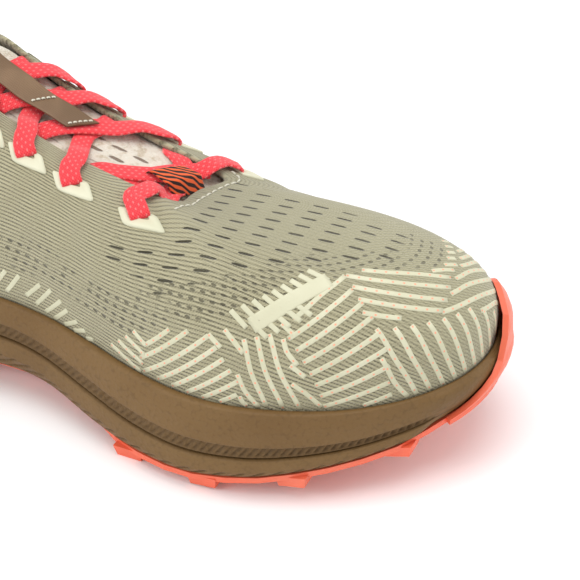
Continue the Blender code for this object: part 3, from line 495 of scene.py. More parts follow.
# %% Table of the top line
# Top line of the upper: perimeter share from the heel to the toe, share of the length, half width as a share
# of the ball width, height as a share of the collar's, and the wall under it: how round it is, how square its
# shoulder is (1 is a quarter ellipse, and less is squarer), and its bulge
TOPLINE_COLUMNS = ("perimeter", "along", "across", "height", "round", "square", "bulge")
TOPLINE_OUTER = (
    (0.00, 0.034, 0.000, 0.930, 0.15, 1.00, 0.0050),
    (0.07, 0.046, 0.125, 0.910, 0.15, 1.00, 0.0046),
    (0.14, 0.092, 0.212, 0.848, 0.18, 1.00, 0.0040),
    (0.20, 0.142, 0.256, 0.792, 0.22, 1.00, 0.0034),
    (0.26, 0.202, 0.266, 0.772, 0.28, 1.00, 0.0030),
    (0.32, 0.256, 0.236, 0.845, 0.38, 0.97, 0.0030),
    (0.365, 0.292, 0.180, 0.950, 0.48, 0.95, 0.0028),
    (0.40, 0.320, 0.140, 0.985, 0.54, 0.95, 0.0026),
    (0.46, 0.372, 0.114, 0.925, 0.60, 0.94, 0.0024),
    (0.52, 0.425, 0.104, 0.858, 0.64, 0.93, 0.0024),
    (0.58, 0.480, 0.102, 0.802, 0.68, 0.92, 0.0024),
    (0.64, 0.532, 0.102, 0.764, 0.72, 0.91, 0.0024),
    (0.70, 0.578, 0.100, 0.734, 0.76, 0.90, 0.0024),
    (0.76, 0.610, 0.090, 0.712, 0.80, 0.85, 0.0022),
    (0.83, 0.624, 0.060, 0.694, 0.86, 0.78, 0.0024),
    (0.92, 0.626, 0.008, 0.688, 0.94, 0.68, 0.0030),
)
TOPLINE_INNER = (
    (0.00, 0.034, 0.000, 0.930, 0.15, 1.00, 0.0050),
    (0.07, 0.046, 0.125, 0.912, 0.15, 1.00, 0.0044),
    (0.14, 0.092, 0.212, 0.856, 0.18, 1.00, 0.0036),
    (0.20, 0.144, 0.256, 0.806, 0.22, 1.00, 0.0030),
    (0.26, 0.206, 0.268, 0.790, 0.28, 1.00, 0.0026),
    (0.32, 0.264, 0.244, 0.866, 0.38, 0.97, 0.0022),
    (0.365, 0.306, 0.194, 0.966, 0.48, 0.95, 0.0020),
    (0.40, 0.338, 0.160, 1.000, 0.54, 0.95, 0.0018),
    (0.46, 0.392, 0.144, 0.938, 0.60, 0.94, 0.0018),
    (0.52, 0.446, 0.140, 0.866, 0.60, 0.98, 0.0016),
    (0.58, 0.500, 0.142, 0.808, 0.60, 1.00, 0.0010),
    (0.64, 0.552, 0.146, 0.760, 0.58, 1.02, 0.0006),
    (0.70, 0.600, 0.148, 0.724, 0.56, 1.04, 0.0002),
    (0.76, 0.634, 0.142, 0.700, 0.54, 1.06, 0.0000),
    (0.83, 0.648, 0.120, 0.690, 0.64, 0.98, 0.0008),
    (0.92, 0.640, 0.076, 0.688, 0.84, 0.76, 0.0030),
)
THROAT_FRONT = (1.00, 0.630, 0.042, 0.686, 0.95, 0.66, 0.0034)
# Padding of the collar as a share of the full padding, and how far up the wall it starts
PADDING_COLUMNS = ("perimeter", "padding")
PADDING = ((0.00, 0.75), (0.12, 1.00), (0.30, 1.00), (0.37, 0.45), (0.42, 0.0), (0.60, 0.0), (1.0, 0.0))
PADDING_STARTS = 0.45


# %% The upper's surfaces
class Upper:
    """The upper's outer and inner surface, as points at a perimeter share and a share up the wall."""

    def __init__(self):
        inner = [(2 - row[0], *row[1:]) for row in reversed(TOPLINE_INNER[1:])]
        rows = [*TOPLINE_OUTER, THROAT_FRONT, *inner]
        value = {name: column(rows, TOPLINE_COLUMNS, name) for name in TOPLINE_COLUMNS}
        side = np.array([-1] * len(TOPLINE_OUTER) + [1] * (len(rows) - len(TOPLINE_OUTER)))
        self.knots = value["perimeter"]
        edge = (x_of(value["along"]), side * value["across"] * BALL_WIDTH, value["height"] * COLLAR_HEIGHT)
        self.values = np.column_stack([*edge, value["round"], value["square"], value["bulge"]])

    def outer(self, perimeter, up):
        """Points of the outer surface, from the rim of the sole (0) to the top line (1)."""
        perimeter = np.atleast_1d(np.asarray(perimeter, float))
        up = np.broadcast_to(up, perimeter.shape)[:, None]
        stations = Stations(perimeter)
        start = stations.ring(stations.flare + GAP, stations.rim)
        values = smooth(self.knots, self.values, perimeter, period=2.0)
        end, roundness, square, bulge = values[:, :3], values[:, 3:4], values[:, 4:5], values[:, 5:6]
        turn = up * math.pi / 2
        flat = (1 - roundness) * up + roundness * (1 - np.abs(np.cos(turn)) ** square)
        rise = (1 - roundness) * up + roundness * np.sin(turn) ** square
        made = start + (end - start) * np.concatenate([flat, flat, rise], 1)
        made[:, :2] += stations.normals * bulge * np.sin(np.clip(up * 1.15, 0, 1) * math.pi)
        return made

    def normals(self, perimeter, up):
        """Outward normals of the outer surface."""
        perimeter = np.atleast_1d(np.asarray(perimeter, float))
        up = np.broadcast_to(up, perimeter.shape)
        above, below = np.clip(up + 0.02, 0, 1), np.clip(up - 0.02, 0, 1)
        climb = self.outer(perimeter, above) - self.outer(perimeter, below)
        run = self.outer(perimeter + 0.006, up) - self.outer(perimeter - 0.006, up)
        return unit(np.cross(run, climb))

    def thickness(self, perimeter, up):
        """Wall thickness, with the padding of the collar."""
        nearest = np.minimum(np.atleast_1d(perimeter) % 2, 2 - np.atleast_1d(perimeter) % 2)
        knots, padding = [column(PADDING, PADDING_COLUMNS, name) for name in PADDING_COLUMNS]
        shares = smooth(knots, padding, nearest, level=True)
        return WALL + COLLAR_PAD * shares * ease(up, PADDING_STARTS, 1)

    def inner(self, perimeter, up):
        """Points of the inner surface."""
        depth = self.thickness(perimeter, up)
        return self.outer(perimeter, up) - self.normals(perimeter, up) * depth[:, None]


UPPER = Upper()


# %% [markdown]
# The throat is the slit that the lace closes. The tongue fills it from below, hung between its two edges like
# a hammock, and the lace, label and keeper lie on the tongue, so their places are read along and across the
# throat.

# %% Table of the throat
# The throat from its front (0) to the collar (1): perimeter shares of its outer and inner edge. The rows
# between the first and the last each carry a pair of eyelets
THROAT_COLUMNS = ("place", "outer", "inner")
THROAT = (
    (0.00, 0.775, 0.835),
    (0.20, 0.666, 0.726),
    (0.42, 0.572, 0.626),
    (0.62, 0.510, 0.548),
    (0.79, 0.458, 0.492),
    (0.95, 0.410, 0.436),
    (1.00, 0.402, 0.428),
)
EYELET_UP = {"outer": 0.80, "inner": 0.84}
# The tongue: how far down the wall its edges lie, the part of the throat that it is shaped to, how strongly
# it arches, and the height up the wall and the place of the rows in front of the throat
TONGUE_EDGE_UP = 0.714
TONGUE_SPAN = (0.07, 0.98)
TONGUE_ARCH = 0.85
TONGUE_ARCH_GROWS = 0.26
TONGUE_FRONT = ((0.86, -0.08), (1.00, 0.00))
TONGUE_FRONT_DROP = 0.20
TONGUE_NARROWS = 0.45
# The label and the keeper from end to end along the throat, as the photograph shows them, and the bar of lace
# under the first crossing
LABEL_SPAN = (0.45, 1.06)
KEEPER_SPAN = (0.06, 0.190)
BAR_PLACE = 0.175
LACE_DIVES = {"outer": 0.74, "inner": 0.52}


# %% Places along the throat
def throat_sides(v):
    """Perimeter shares of the outer and inner edge at a place along the throat."""
    places, outer, inner = [column(THROAT, THROAT_COLUMNS, name) for name in THROAT_COLUMNS]
    return {"outer": smooth(places, outer, [v])[0], "inner": 2 - smooth(places, inner, [v])[0]}


EYELET_PLACES = [row[0] for row in THROAT[1:-1]]


def eyelets():
    """Side, number and perimeter share of each eyelet, from the toe up."""
    places = []
    for number, v in enumerate(EYELET_PLACES, 1):
        places += [(side, number, share) for side, share in throat_sides(v).items()]
    return places


# %% The tongue's surface
def tongue_clearance(v):
    """How far the tongue lies under the wall. It sinks a little at the front of the throat."""
    return TONGUE_CLEARANCE + TONGUE_FRONT_SINK * (1 - ease(v, 0, TONGUE_ARCH_GROWS))


def tongue_section(v):
    """Points of the tongue's outer face across the shoe at one place along the throat, outer edge first."""
    sides = []
    for perimeter in throat_sides(v).values():
        ups = np.array([TONGUE_EDGE_UP, (TONGUE_EDGE_UP + 1) / 2, 1.0])
        shares = np.full(len(ups), perimeter)
        points = UPPER.inner(shares, ups) - UPPER.normals(shares, ups) * tongue_clearance(v)
        sides.append((points, unit(points[-1] - points[-2])))
    (left, left_way), (right, right_way) = sides
    start, end = left[-1], right[-1]
    t = np.linspace(0, 1, ARCH_PLACES + 2)[1:-1, None]
    pull = np.linalg.norm(end - start) * TONGUE_ARCH * ease(v, 0, TONGUE_ARCH_GROWS)
    arch = (
        (2 * t**3 - 3 * t**2 + 1) * start
        + (t**3 - 2 * t**2 + t) * pull * left_way
        + (3 * t**2 - 2 * t**3) * end
        - (t**3 - t**2) * pull * right_way
    )
    return np.vstack([left, arch, right[::-1]])


def tongue_front(across, up):
    """Points of the tongue's front, which lies under the wall in front of the throat."""
    outer, inner = throat_sides(0.0).values()
    share = (across - across[0]) / (across[-1] - across[0])
    perimeter = outer + (inner - outer) * share
    ups = up - TONGUE_FRONT_DROP * (across / across[-1]) ** 2
    return UPPER.inner(perimeter, ups) - UPPER.normals(perimeter, ups) * tongue_clearance(0.0)


class Tongue:
    """The tongue's outer face, as points across (-1 to 1 is the open throat) and along the throat."""

    def __init__(self):
        self.across = np.concatenate([(-1.5, -1.25), np.linspace(-1, 1, ARCH_PLACES + 2), (1.25, 1.5)])
        places = list(np.linspace(*TONGUE_SPAN, TONGUE_ROWS))
        rows = [tongue_section(v) for v in places]
        step = rows[-1].mean(0) - rows[-2].mean(0)
        last, heart = rows[-1], rows[-1].mean(0)
        for number in range(1, TOP_ROWS + 1):
            share = number / TOP_ROWS
            narrow = 1 - TONGUE_NARROWS * share
            rows.append(heart + (last - heart) * narrow + unit(step) * TONGUE_ABOVE_COLLAR * share)
            travel = TONGUE_ABOVE_COLLAR / TOP_ROWS / np.linalg.norm(step)
            places.append(places[-1] + travel * (places[1] - places[0]))
        self.along = np.array([v for _, v in TONGUE_FRONT] + places)
        self.rows = np.array([tongue_front(self.across, up) for up, _ in TONGUE_FRONT] + rows)

    def at(self, across, v):
        """Points of the outer face."""
        across, v = np.broadcast_arrays(np.asarray(across, float), np.asarray(v, float))
        made = []
        for one_across, one_v in zip(across, v):
            row = smooth(self.along, self.rows.reshape(len(self.along), -1), [one_v]).reshape(-1, 3)
            made.append(smooth(self.across, row, [one_across])[0])
        return np.array(made)

    def normals(self, across, v):
        """Outward normals of the outer face."""
        across, v = np.broadcast_arrays(np.asarray(across, float), np.asarray(v, float))
        back = self.at(across, v + 0.02) - self.at(across, v - 0.02)
        over = self.at(across + 0.05, v) - self.at(across - 0.05, v)
        return unit(np.cross(over, back))

    def half_width(self, v):
        """Half the width of the open throat at one place."""
        return np.linalg.norm(self.at([1.0], [v])[0] - self.at([-1.0], [v])[0]) / 2


TONGUE = Tongue()


# %% [markdown]
# Every cloth and foam surface starts as a flat grid, which is then laid on the shoe's own curves, row by row.
# The grid is closed into a ring or a tube by merging its matching edges, and it keeps a UV map in metres, so
# that the knit and the foam's grain follow the surface at their real size.

# %% Lay a grid on a surface
def laid_grid(name, points, maps=None, numbers=None, fill=False):
    """A mesh grid moved to rows of points, with UV maps in metres and numbers painted on its points."""
    rows, columns = points.shape[:2]
    sheet = bmesh.new()
    bmesh.ops.create_grid(sheet, x_segments=columns - 1, y_segments=rows - 1, size=1.0)
    data = bpy.data.meshes.new(name)
    sheet.to_mesh(data)
    sheet.free()
    flat = np.empty(len(data.vertices) * 3)
    data.vertices.foreach_get("co", flat)
    flat = flat.reshape(-1, 3)
    column_of = np.rint((flat[:, 0] + 1) / 2 * (columns - 1)).astype(int)
    row_of = np.rint((flat[:, 1] + 1) / 2 * (rows - 1)).astype(int)
    data.vertices.foreach_set("co", points[row_of, column_of].ravel())
    corner = np.empty(len(data.loops), int)
    data.loops.foreach_get("vertex_index", corner)
    for map_name, chart in (maps or {}).items():
        layer = data.uv_layers.new(name=map_name)
        layer.data.foreach_set("uv", chart[row_of, column_of][corner].ravel())
    for number_name, values in (numbers or {}).items():
        layer = data.attributes.new(number_name, "FLOAT", "POINT")
        layer.data.foreach_set("value", values[row_of, column_of].astype(np.float32))
    closed = bmesh.new()
    closed.from_mesh(data)
    bmesh.ops.remove_doubles(closed, verts=closed.verts, dist=1e-6)
    if fill:
        bmesh.ops.holes_fill(closed, edges=[edge for edge in closed.edges if edge.is_boundary], sides=0)
    bmesh.ops.recalc_face_normals(closed, faces=closed.faces)
    closed.to_mesh(data)
    closed.free()
    return data


def add_piece(name, data, finish, replaced=()):
    """Puts a finished mesh in the scene, with its finish and its place in the shoe."""
    data.name = name
    data.shade_smooth()
    data.materials.append(finish)
    made = bpy.data.objects.new(name, data)
    bpy.context.scene.collection.objects.link(made)
    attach(made, "root")
    if replaced:
        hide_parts(*replaced)
    print(name, len(data.polygons), "faces")
    return made


def round_edge(first, second, way, reach, steps=5):
    """Rows that turn in a half circle from one row of points to another, bulging by a reach along a way."""
    middle, half = (first + second) / 2, (first - second) / 2
    turns = np.linspace(0, math.pi, steps + 2)[1:-1]
    return [middle + half * math.cos(turn) + way * reach * math.sin(turn) for turn in turns]


# %% [markdown]
# The knitted upper. It is one shell with a real wall: outside, a rounded edge at the collar and throat, a
# padded lining inside, and the foot tucked into the sole. On the real shoe the creases come from the toe
# bending, from the lace pulling the eyelets together, and from the collar's padding, so each is listed as a
# soft trough or ridge in the shoe's own sizes.

# %% Folds of the upper
FOLD_COLUMNS = ("perimeter", "up", "run", "climb", "lean", "depth")
FOLDS = (
    (0.700, 0.82, 0.016, 0.060, 0.5, -0.0009),
    (0.735, 0.70, 0.012, 0.090, 0.4, 0.0006),
    (0.620, 0.55, 0.020, 0.110, 0.2, -0.0007),
    (0.540, 0.62, 0.016, 0.120, -0.2, -0.0007),
    (0.490, 0.45, 0.018, 0.130, -0.3, 0.0006),
    (0.780, 0.45, 0.022, 0.120, 0.3, -0.0006),
    (0.850, 0.62, 0.030, 0.080, 0.5, 0.0006),
    (0.905, 0.75, 0.030, 0.060, 0.3, -0.0007),
    (0.360, 0.62, 0.016, 0.140, -0.4, -0.0010),
    (0.300, 0.50, 0.018, 0.120, 0.3, 0.0008),
    (0.180, 0.42, 0.030, 0.060, 0.1, -0.0009),
    (1.130, 0.60, 0.030, 0.090, -0.3, -0.0007),
    (1.270, 0.62, 0.018, 0.100, -0.4, 0.0007),
    (1.380, 0.58, 0.018, 0.110, 0.3, -0.0007),
    (1.520, 0.55, 0.020, 0.120, 0.2, -0.0007),
    (1.640, 0.62, 0.016, 0.140, 0.4, -0.0010),
    (1.820, 0.42, 0.030, 0.060, -0.1, -0.0009),
)


def fold_height(perimeter, up):
    """How far the folds push the wall out, for rows of places."""
    height = np.zeros(np.broadcast(perimeter, up).shape)
    for row in FOLDS:
        fold = dict(zip(FOLD_COLUMNS, row))
        apart = (perimeter - fold["perimeter"] + 1) % 2 - 1
        climb = up - fold["up"]
        across = (apart - climb * fold["lean"] * 0.1) / fold["run"]
        height += fold["depth"] * np.exp(-(across**2) - (climb / (2 * fold["climb"])) ** 2)
    return height


# %% Charts of the wall
WALL_COLUMNS = 560
WALL_ROWS = 84
LINING_ROWS = 26

wall_perimeter = np.linspace(0, 2, WALL_COLUMNS + 1)
wall_ups = np.linspace(0, 1, WALL_ROWS)
wall = np.array([UPPER.outer(wall_perimeter, up) for up in wall_ups])
rises = np.linalg.norm(np.diff(wall, axis=0), axis=2)
wall_climb = np.vstack([np.zeros((1, WALL_COLUMNS + 1)), np.cumsum(rises, axis=0)])
wall_run = run_along(on_outline(wall_perimeter % 2))
HALF_RUN = wall_run[WALL_COLUMNS // 2]
print("half way round", round(HALF_RUN * 1000, 1), "mm")
print("highest wall", round(wall_climb.max() * 1000, 1), "mm")

# The lowest part of the wall, where the ribs follow its height, and how steeply the twill climbs along the
# shoe
STEEP_WALL = 0.011
TWILL_SLOPES = ((0.55, 0.10), (0.70, 0.22), (0.82, 0.50), (0.94, 1.00), (1.10, 1.00), (1.25, 0.30))


def courses():
    """How far each place of the wall lies from the middle of the foot, over the top."""
    middle = WALL_COLUMNS // 2
    places = np.linspace(wall[..., 0].min(), wall[..., 0].max(), 420)
    found = np.empty(wall.shape[:2])
    for side, sign in ((range(middle, -1, -1), -1), (range(middle, WALL_COLUMNS + 1), 1)):
        reach = np.full(len(places), np.nan)
        last = np.full((len(places), 3), np.nan)
        for k in side:
            line = wall[::-1, k]
            order = np.argsort(line[:, 0])
            line = line[order]
            inside = (places >= line[0, 0]) & (places <= line[-1, 0])
            across, high = [np.interp(places, line[:, 0], line[:, axis]) for axis in (1, 2)]
            point = np.column_stack([places, across, high])
            step = np.linalg.norm(point - last, axis=1)
            begun = ~np.isnan(reach)
            reach = np.where(inside, np.where(begun, reach + np.nan_to_num(step), sign * point[:, 1]), reach)
            last = np.where(inside[:, None], point, last)
            known = ~np.isnan(reach) & inside
            if known.sum() > 3:
                found[:, k] = np.interp(wall[:, k, 0], places[known], reach[known])
            else:
                found[:, k] = np.abs(wall[:, k, 1])
            steep = STEEP_WALL - wall_climb[:, k]
            lowest = np.interp(STEEP_WALL, wall_climb[:, k], found[:, k])
            found[:, k] = np.where(steep > 0, lowest + steep, found[:, k])
    return found


wall_course = courses()
far_reach = wall_course[0, np.searchsorted(wall_perimeter, 0.66)]
behind = 1 - ease(np.minimum(wall_perimeter, 2 - wall_perimeter), 0.56, 0.78)
wall_course = wall_course * (1 - behind) + (far_reach - wall_climb) * behind
wall_course = wall_course * np.where(wall_perimeter >= 1, -1, 1)
twill_slope = np.interp(wall_perimeter, *np.array(TWILL_SLOPES).T)
wall_twill = wall_climb + np.cumsum(twill_slope * np.gradient(wall_run))
print("reach of the ribs", round(far_reach * 1000, 1), "mm")


# %% The knitted shell
def upper_shell():
    """The upper as one closed wall: outside, rounded top edge, lining, and the foot in the sole."""
    height = fold_height(wall_perimeter[None, :], wall_ups[:, None])
    outside = []
    for row, up in enumerate(wall_ups):
        out = UPPER.normals(wall_perimeter, up)
        outside.append(wall[row] + out * height[row][:, None])
    lining_ups = np.linspace(1, 0, LINING_ROWS)
    lining = [UPPER.inner(wall_perimeter, up) for up in lining_ups]
    stations = Stations(wall_perimeter)
    lining[-1] = stations.ring(stations.flare + GAP + WALL, stations.rim)
    top_way = unit(outside[-1] - outside[-3])
    thick = np.linalg.norm(outside[-1] - lining[0], axis=1)[:, None]
    edge = round_edge(outside[-1], lining[0], top_way, LINING_ROUND + (thick - WALL) * 0.35, 7)
    foot = stations.flare + CUP_TAPER + GAP
    tuck = [stations.ring(foot, stations.footbed + GAP), stations.ring(foot + WALL, stations.footbed + GAP)]
    rows = np.array([tuck[0], *outside, *edge, *lining, tuck[1], tuck[0]])
    rows[:, -1] = rows[:, 0]
    first = np.vstack([wall_climb[:1], wall_climb])
    extra = len(rows) - len(first)
    climb = np.vstack([first, np.repeat(wall_climb[-1:], extra, axis=0)])
    course = np.vstack([wall_course[:1], wall_course, np.repeat(wall_course[-1:], extra, axis=0)])
    run = np.broadcast_to(wall_run, climb.shape)
    turned = np.linspace(0.1, 1, len(edge))
    inside = np.concatenate([np.zeros(len(first)), turned, np.ones(extra - len(edge))])
    inside = np.broadcast_to(inside[:, None], climb.shape)
    share = np.broadcast_to(wall_perimeter, climb.shape)
    twill = np.vstack([wall_twill[:1], wall_twill, np.repeat(wall_twill[-1:], extra, axis=0)])
    maps = {"wall": np.stack([run, climb], -1), "knit": np.stack([rows[..., 0], course], -1)}
    maps["twill"] = np.stack([run, twill], -1)
    return rows, maps, {"inside": inside, "round": share}


# %% [markdown]
# The knit changes over the shoe: plain ribs on the wall, a fine smooth face on top, slots and small holes
# over the toes for air, and a coarse twill where the toe is armoured. Each is a region whose edge is painted
# on the mesh from a short table, and the pattern inside it is worked out in the material.

# %% Regions of the knit
# Upper edge of the twill, and middle of the band of small holes: perimeter share and height on the wall
TWILL_EDGE = (
    (0.585, 0.000), (0.605, 0.008), (0.625, 0.016), (0.660, 0.0235), (0.705, 0.0255), (0.740, 0.030),
    (0.800, 0.041), (0.860, 0.0500), (0.900, 0.0530), (0.930, 0.0490), (0.965, 0.0400), (1.000, 0.0375),
    (1.060, 0.0370), (1.120, 0.0300), (1.180, 0.0150), (1.215, 0.000),
)
SMALL_HOLES = (
    (0.440, 0.0210), (0.500, 0.0230), (0.560, 0.0195), (0.610, 0.0210), (0.660, 0.0330), (0.720, 0.0365),
    (0.780, 0.0430), (0.840, 0.0520), (0.900, 0.0570), (0.950, 0.0510), (0.990, 0.0440), (1.030, 0.0440),
)
SMALL_HOLES_REACH = 0.0058
EDGE_BLEND = 0.0006
# Slots over the toes, and on the outer side below the first eyelet: where they start, are full, fade and end
TOP_SLOTS_ALONG = (0.0385, 0.040, 0.104, 0.106)
SIDE_SLOTS_ALONG = (0.019, 0.020, 0.0385, 0.040)
SIDE_SLOTS_COURSE = (0.0265, 0.0272, 0.0385, 0.039)


def edge_at(table, perimeter):
    """The height on the wall that a table gives at a perimeter share, and nothing outside its ends."""
    places, heights = np.array(table).T
    line = np.interp(perimeter, places, heights)
    return np.where((perimeter >= places[0]) & (perimeter <= places[-1]), line, -1.0)


def paint_regions(maps, numbers):
    """Adds the regions of the twill, the slots and the small holes, as numbers from 0 to 1."""
    climb, perimeter, course = maps["wall"][..., 1], numbers["round"], maps["knit"][..., 1]
    x = maps["knit"][..., 0]
    numbers["twill"] = 1 - ease(climb - edge_at(TWILL_EDGE, perimeter), -EDGE_BLEND, EDGE_BLEND)
    from_band = np.abs(climb - edge_at(SMALL_HOLES, perimeter))
    numbers["small_holes"] = 1 - ease(from_band, SMALL_HOLES_REACH, SMALL_HOLES_REACH + 0.0015)
    limit = 0.040 - (x - 0.045) * 0.62
    on_top = between(x, *TOP_SLOTS_ALONG) * (1 - ease(course, limit, limit + 0.001))
    at_side = between(x, *SIDE_SLOTS_ALONG) * between(course, *SIDE_SLOTS_COURSE)
    numbers["slots"] = np.maximum(on_top * ease(course, -0.014, -0.012), at_side)
    numbers["fine"] = (1 - ease(course, 0.004, 0.036)) * ease(x, 0.02, 0.05)


rows, maps, numbers = upper_shell()
paint_regions(maps, numbers)
numbers.pop("round")
upper_mesh = laid_grid("knit_upper", rows, maps, numbers)

# %% [markdown]
# Knit is rows of loops. From a normal distance it reads as light ribs with a dark line between them, so the
# material waves across the ribs for the lines and along them for the single stitches, and paints shade in the
# gaps between the ribs and stitches. The lining is a softer, darker mesh.

# %% Finish of the knit
YARN = (0.455, 0.415, 0.268)
YARN_LIGHT = (0.560, 0.520, 0.360)
YARN_GAP_SHADE = (0.115, 0.105, 0.055)
YARN_SMOOTH = (0.400, 0.375, 0.245)
HOLE_SHADE = (0.026, 0.021, 0.006)
LINING_YARN = (0.300, 0.265, 0.185)
RIB_PITCH = 0.00145
STITCH_PITCH = 0.00085
TWILL_PITCH = 0.00160
SLOT_GRID = (0.0097, 0.0045)
SLOT_SIZE = (0.0049, 0.00080)
SMALL_GRID = (0.0040, 0.0034)
SMALL_SIZE = (0.0019, 0.0010)


def knit_finish():
    make = Finish("knit", Roughness=0.86, Sheen_Weight=0.25, Sheen_Roughness=0.5, Specular_IOR_Level=0.25)
    along_shoe, course = make.chart("knit")
    run, climb = make.chart("wall")
    wander = (make.noise(55.0, 2.0) - 0.5) * 0.0007
    line = make.wave(course + wander, RIB_PITCH)
    stitch = make.wave(along_shoe + course * 0.6 + (make.noise(900.0, 1.0) - 0.5) * 0.0005, STITCH_PITCH)
    fine, twill = make.number("fine"), make.number("twill")
    rib = make.rise(line, 0.05, 0.50)
    plain = 1 - (1 - rib) * (0.55 + stitch * 0.45) - stitch * 0.16
    soft = plain * (1 - fine * 0.72) + fine * 0.72 * (0.86 + make.wave(along_shoe, STITCH_PITCH) * 0.14)
    twill_run, twill_line = make.chart("twill")
    bead = make.wave(twill_run - twill_line * 0.5, 0.0012)
    slant = make.wave(twill_line + wander + bead * 0.00022, TWILL_PITCH)
    coarse = make.rise(slant, 0.12, 0.62) * (0.68 + bead * 0.32)
    height = soft * (1 - twill) + coarse * twill * 1.35
    # Painted shade darkens the gaps between the ribs and stitches, here and on the fine face.
    colour = make.mix(soft, YARN_GAP_SHADE, YARN)
    colour = make.mix(fine * 0.8, colour, make.mix(soft, (0.235, 0.220, 0.135), YARN_SMOOTH))
    flecks = make.rise(make.noise(2600.0, 2.0), 0.50, 0.72)
    colour = make.mix(flecks * (1 - fine) * 0.55, colour, YARN_LIGHT)
    # Painted shade darkens the gaps between the twill's slanting ribs.
    twilled = make.mix(coarse, (0.085, 0.080, 0.040), (0.400, 0.370, 0.235))
    twilled = make.mix(make.rise(make.noise(1900.0, 2.0), 0.52, 0.75) * 0.5, twilled, YARN_LIGHT)
    colour = make.mix(twill, colour, twilled)
    row = course + along_shoe * 0.12
    slot_x = make.cell(along_shoe + course * 0.06 - 0.0402, SLOT_GRID[0], SLOT_SIZE[0] / 2)
    slot_y = make.cell(row + 0.0003, SLOT_GRID[1], SLOT_SIZE[1] / 2)
    slot = 1 - make.rise(slot_x * slot_x * slot_x * slot_x + slot_y * slot_y, 0.7, 1.5)
    slot = slot * make.number("slots")
    odd = (((climb / SMALL_GRID[1]) % 2.0) > 1.0) * (SMALL_GRID[0] / 2)
    small_x = make.cell(run + odd, SMALL_GRID[0], SMALL_SIZE[0] / 2)
    small_y = make.cell(climb, SMALL_GRID[1], SMALL_SIZE[1] / 2)
    small = 1 - make.rise(small_x * small_x + small_y * small_y, 0.6, 1.5)
    patchy = make.rise(make.noise(120.0, 1.0), 0.30, 0.44)
    small = small * make.number("small_holes") * patchy * (1 - twill)
    holes = make.most(slot, small * 0.95)
    # The slots and small holes are painted dark, as the shade inside the shoe seen through them.
    colour = make.mix(holes, colour, HOLE_SHADE)
    blotch = make.noise(38.0, 3.0)
    colour = make.mix((blotch - 0.5) * 0.35 + 0.08, colour, (0.50, 0.47, 0.33))
    inside = make.rise(make.number("inside"), 0.25, 0.75)
    mesh = make.wave(along_shoe, 0.0016) * make.wave(course, 0.0016)
    colour = make.mix(inside, colour, make.mix(make.rise(mesh, 0.3, 0.9), LINING_YARN, (0.120, 0.105, 0.070)))
    height = height - holes * 1.6
    return make.feed(colour, roughness=0.80 + 0.12 * height, height=height, depth=0.00038)


knit = knit_finish()
add_piece("knit_upper", upper_mesh, knit, ("upper",))


# %% [markdown]
# The midsole is one moulded block of brown foam. Its side steps out in bands: a smooth shoulder under the
# upper, a recessed band with slanting ribs, a deep groove, and a lower band with slanting grooves above the
# rubber. The rows of the side table give the steps, and the ribs and grooves are pushed into the finished
# grid. The deep groove, the recessed band and the bottoms of the grooves are also darkened with painted
# shade.

# %% The foam midsole
FOAM_COLUMNS = 1100
ROWS_A_STEP = 6
BAND_RIB = (0.0029, 0.00050)
BAND_SUNK = 0.0008
LOW_GROOVE = (0.0066, 0.00110)
# Rows of the side table between which the ribbed band and the low grooves start, are full, fade and end
BAND_LEVELS = (5.9, 6.2, 7.05, 7.35)
LOW_LEVELS = (0.0, 0.5, 2.5, 3.1)


def side_rows(stations):
    """Fine rows of the midsole's side: insets, heights and levels, rounded between the rows of the table."""
    knots = np.arange(len(SIDE) + 1)
    at = np.linspace(0, len(SIDE), len(SIDE) * ROWS_A_STEP + 1)
    insets, heights = [], []
    for row in SIDE:
        value = dict(zip(SIDE_COLUMNS, row))
        place = np.clip(stations.share, SIDE_PLACES[0], SIDE_PLACES[-1])
        level = smooth(SIDE_PLACES, row[: len(SIDE_PLACES)], place, level=True)
        stepped = value["inset"] * stations.flare + value["groove"] * GROOVE_DEPTH
        inset = stepped + (plain_inset(level) * stations.flare - stepped) * stations.plain
        insets.append(inset + value["undercut"] * undercut(stations.share))
        heights.append(stations.side_height(level))
    insets.append(stations.flare * RIM_INSET)
    heights.append(stations.rim)
    insets, heights = [smooth(knots, np.array(rows), at, level=True) for rows in (insets, heights)]
    return at, insets, heights


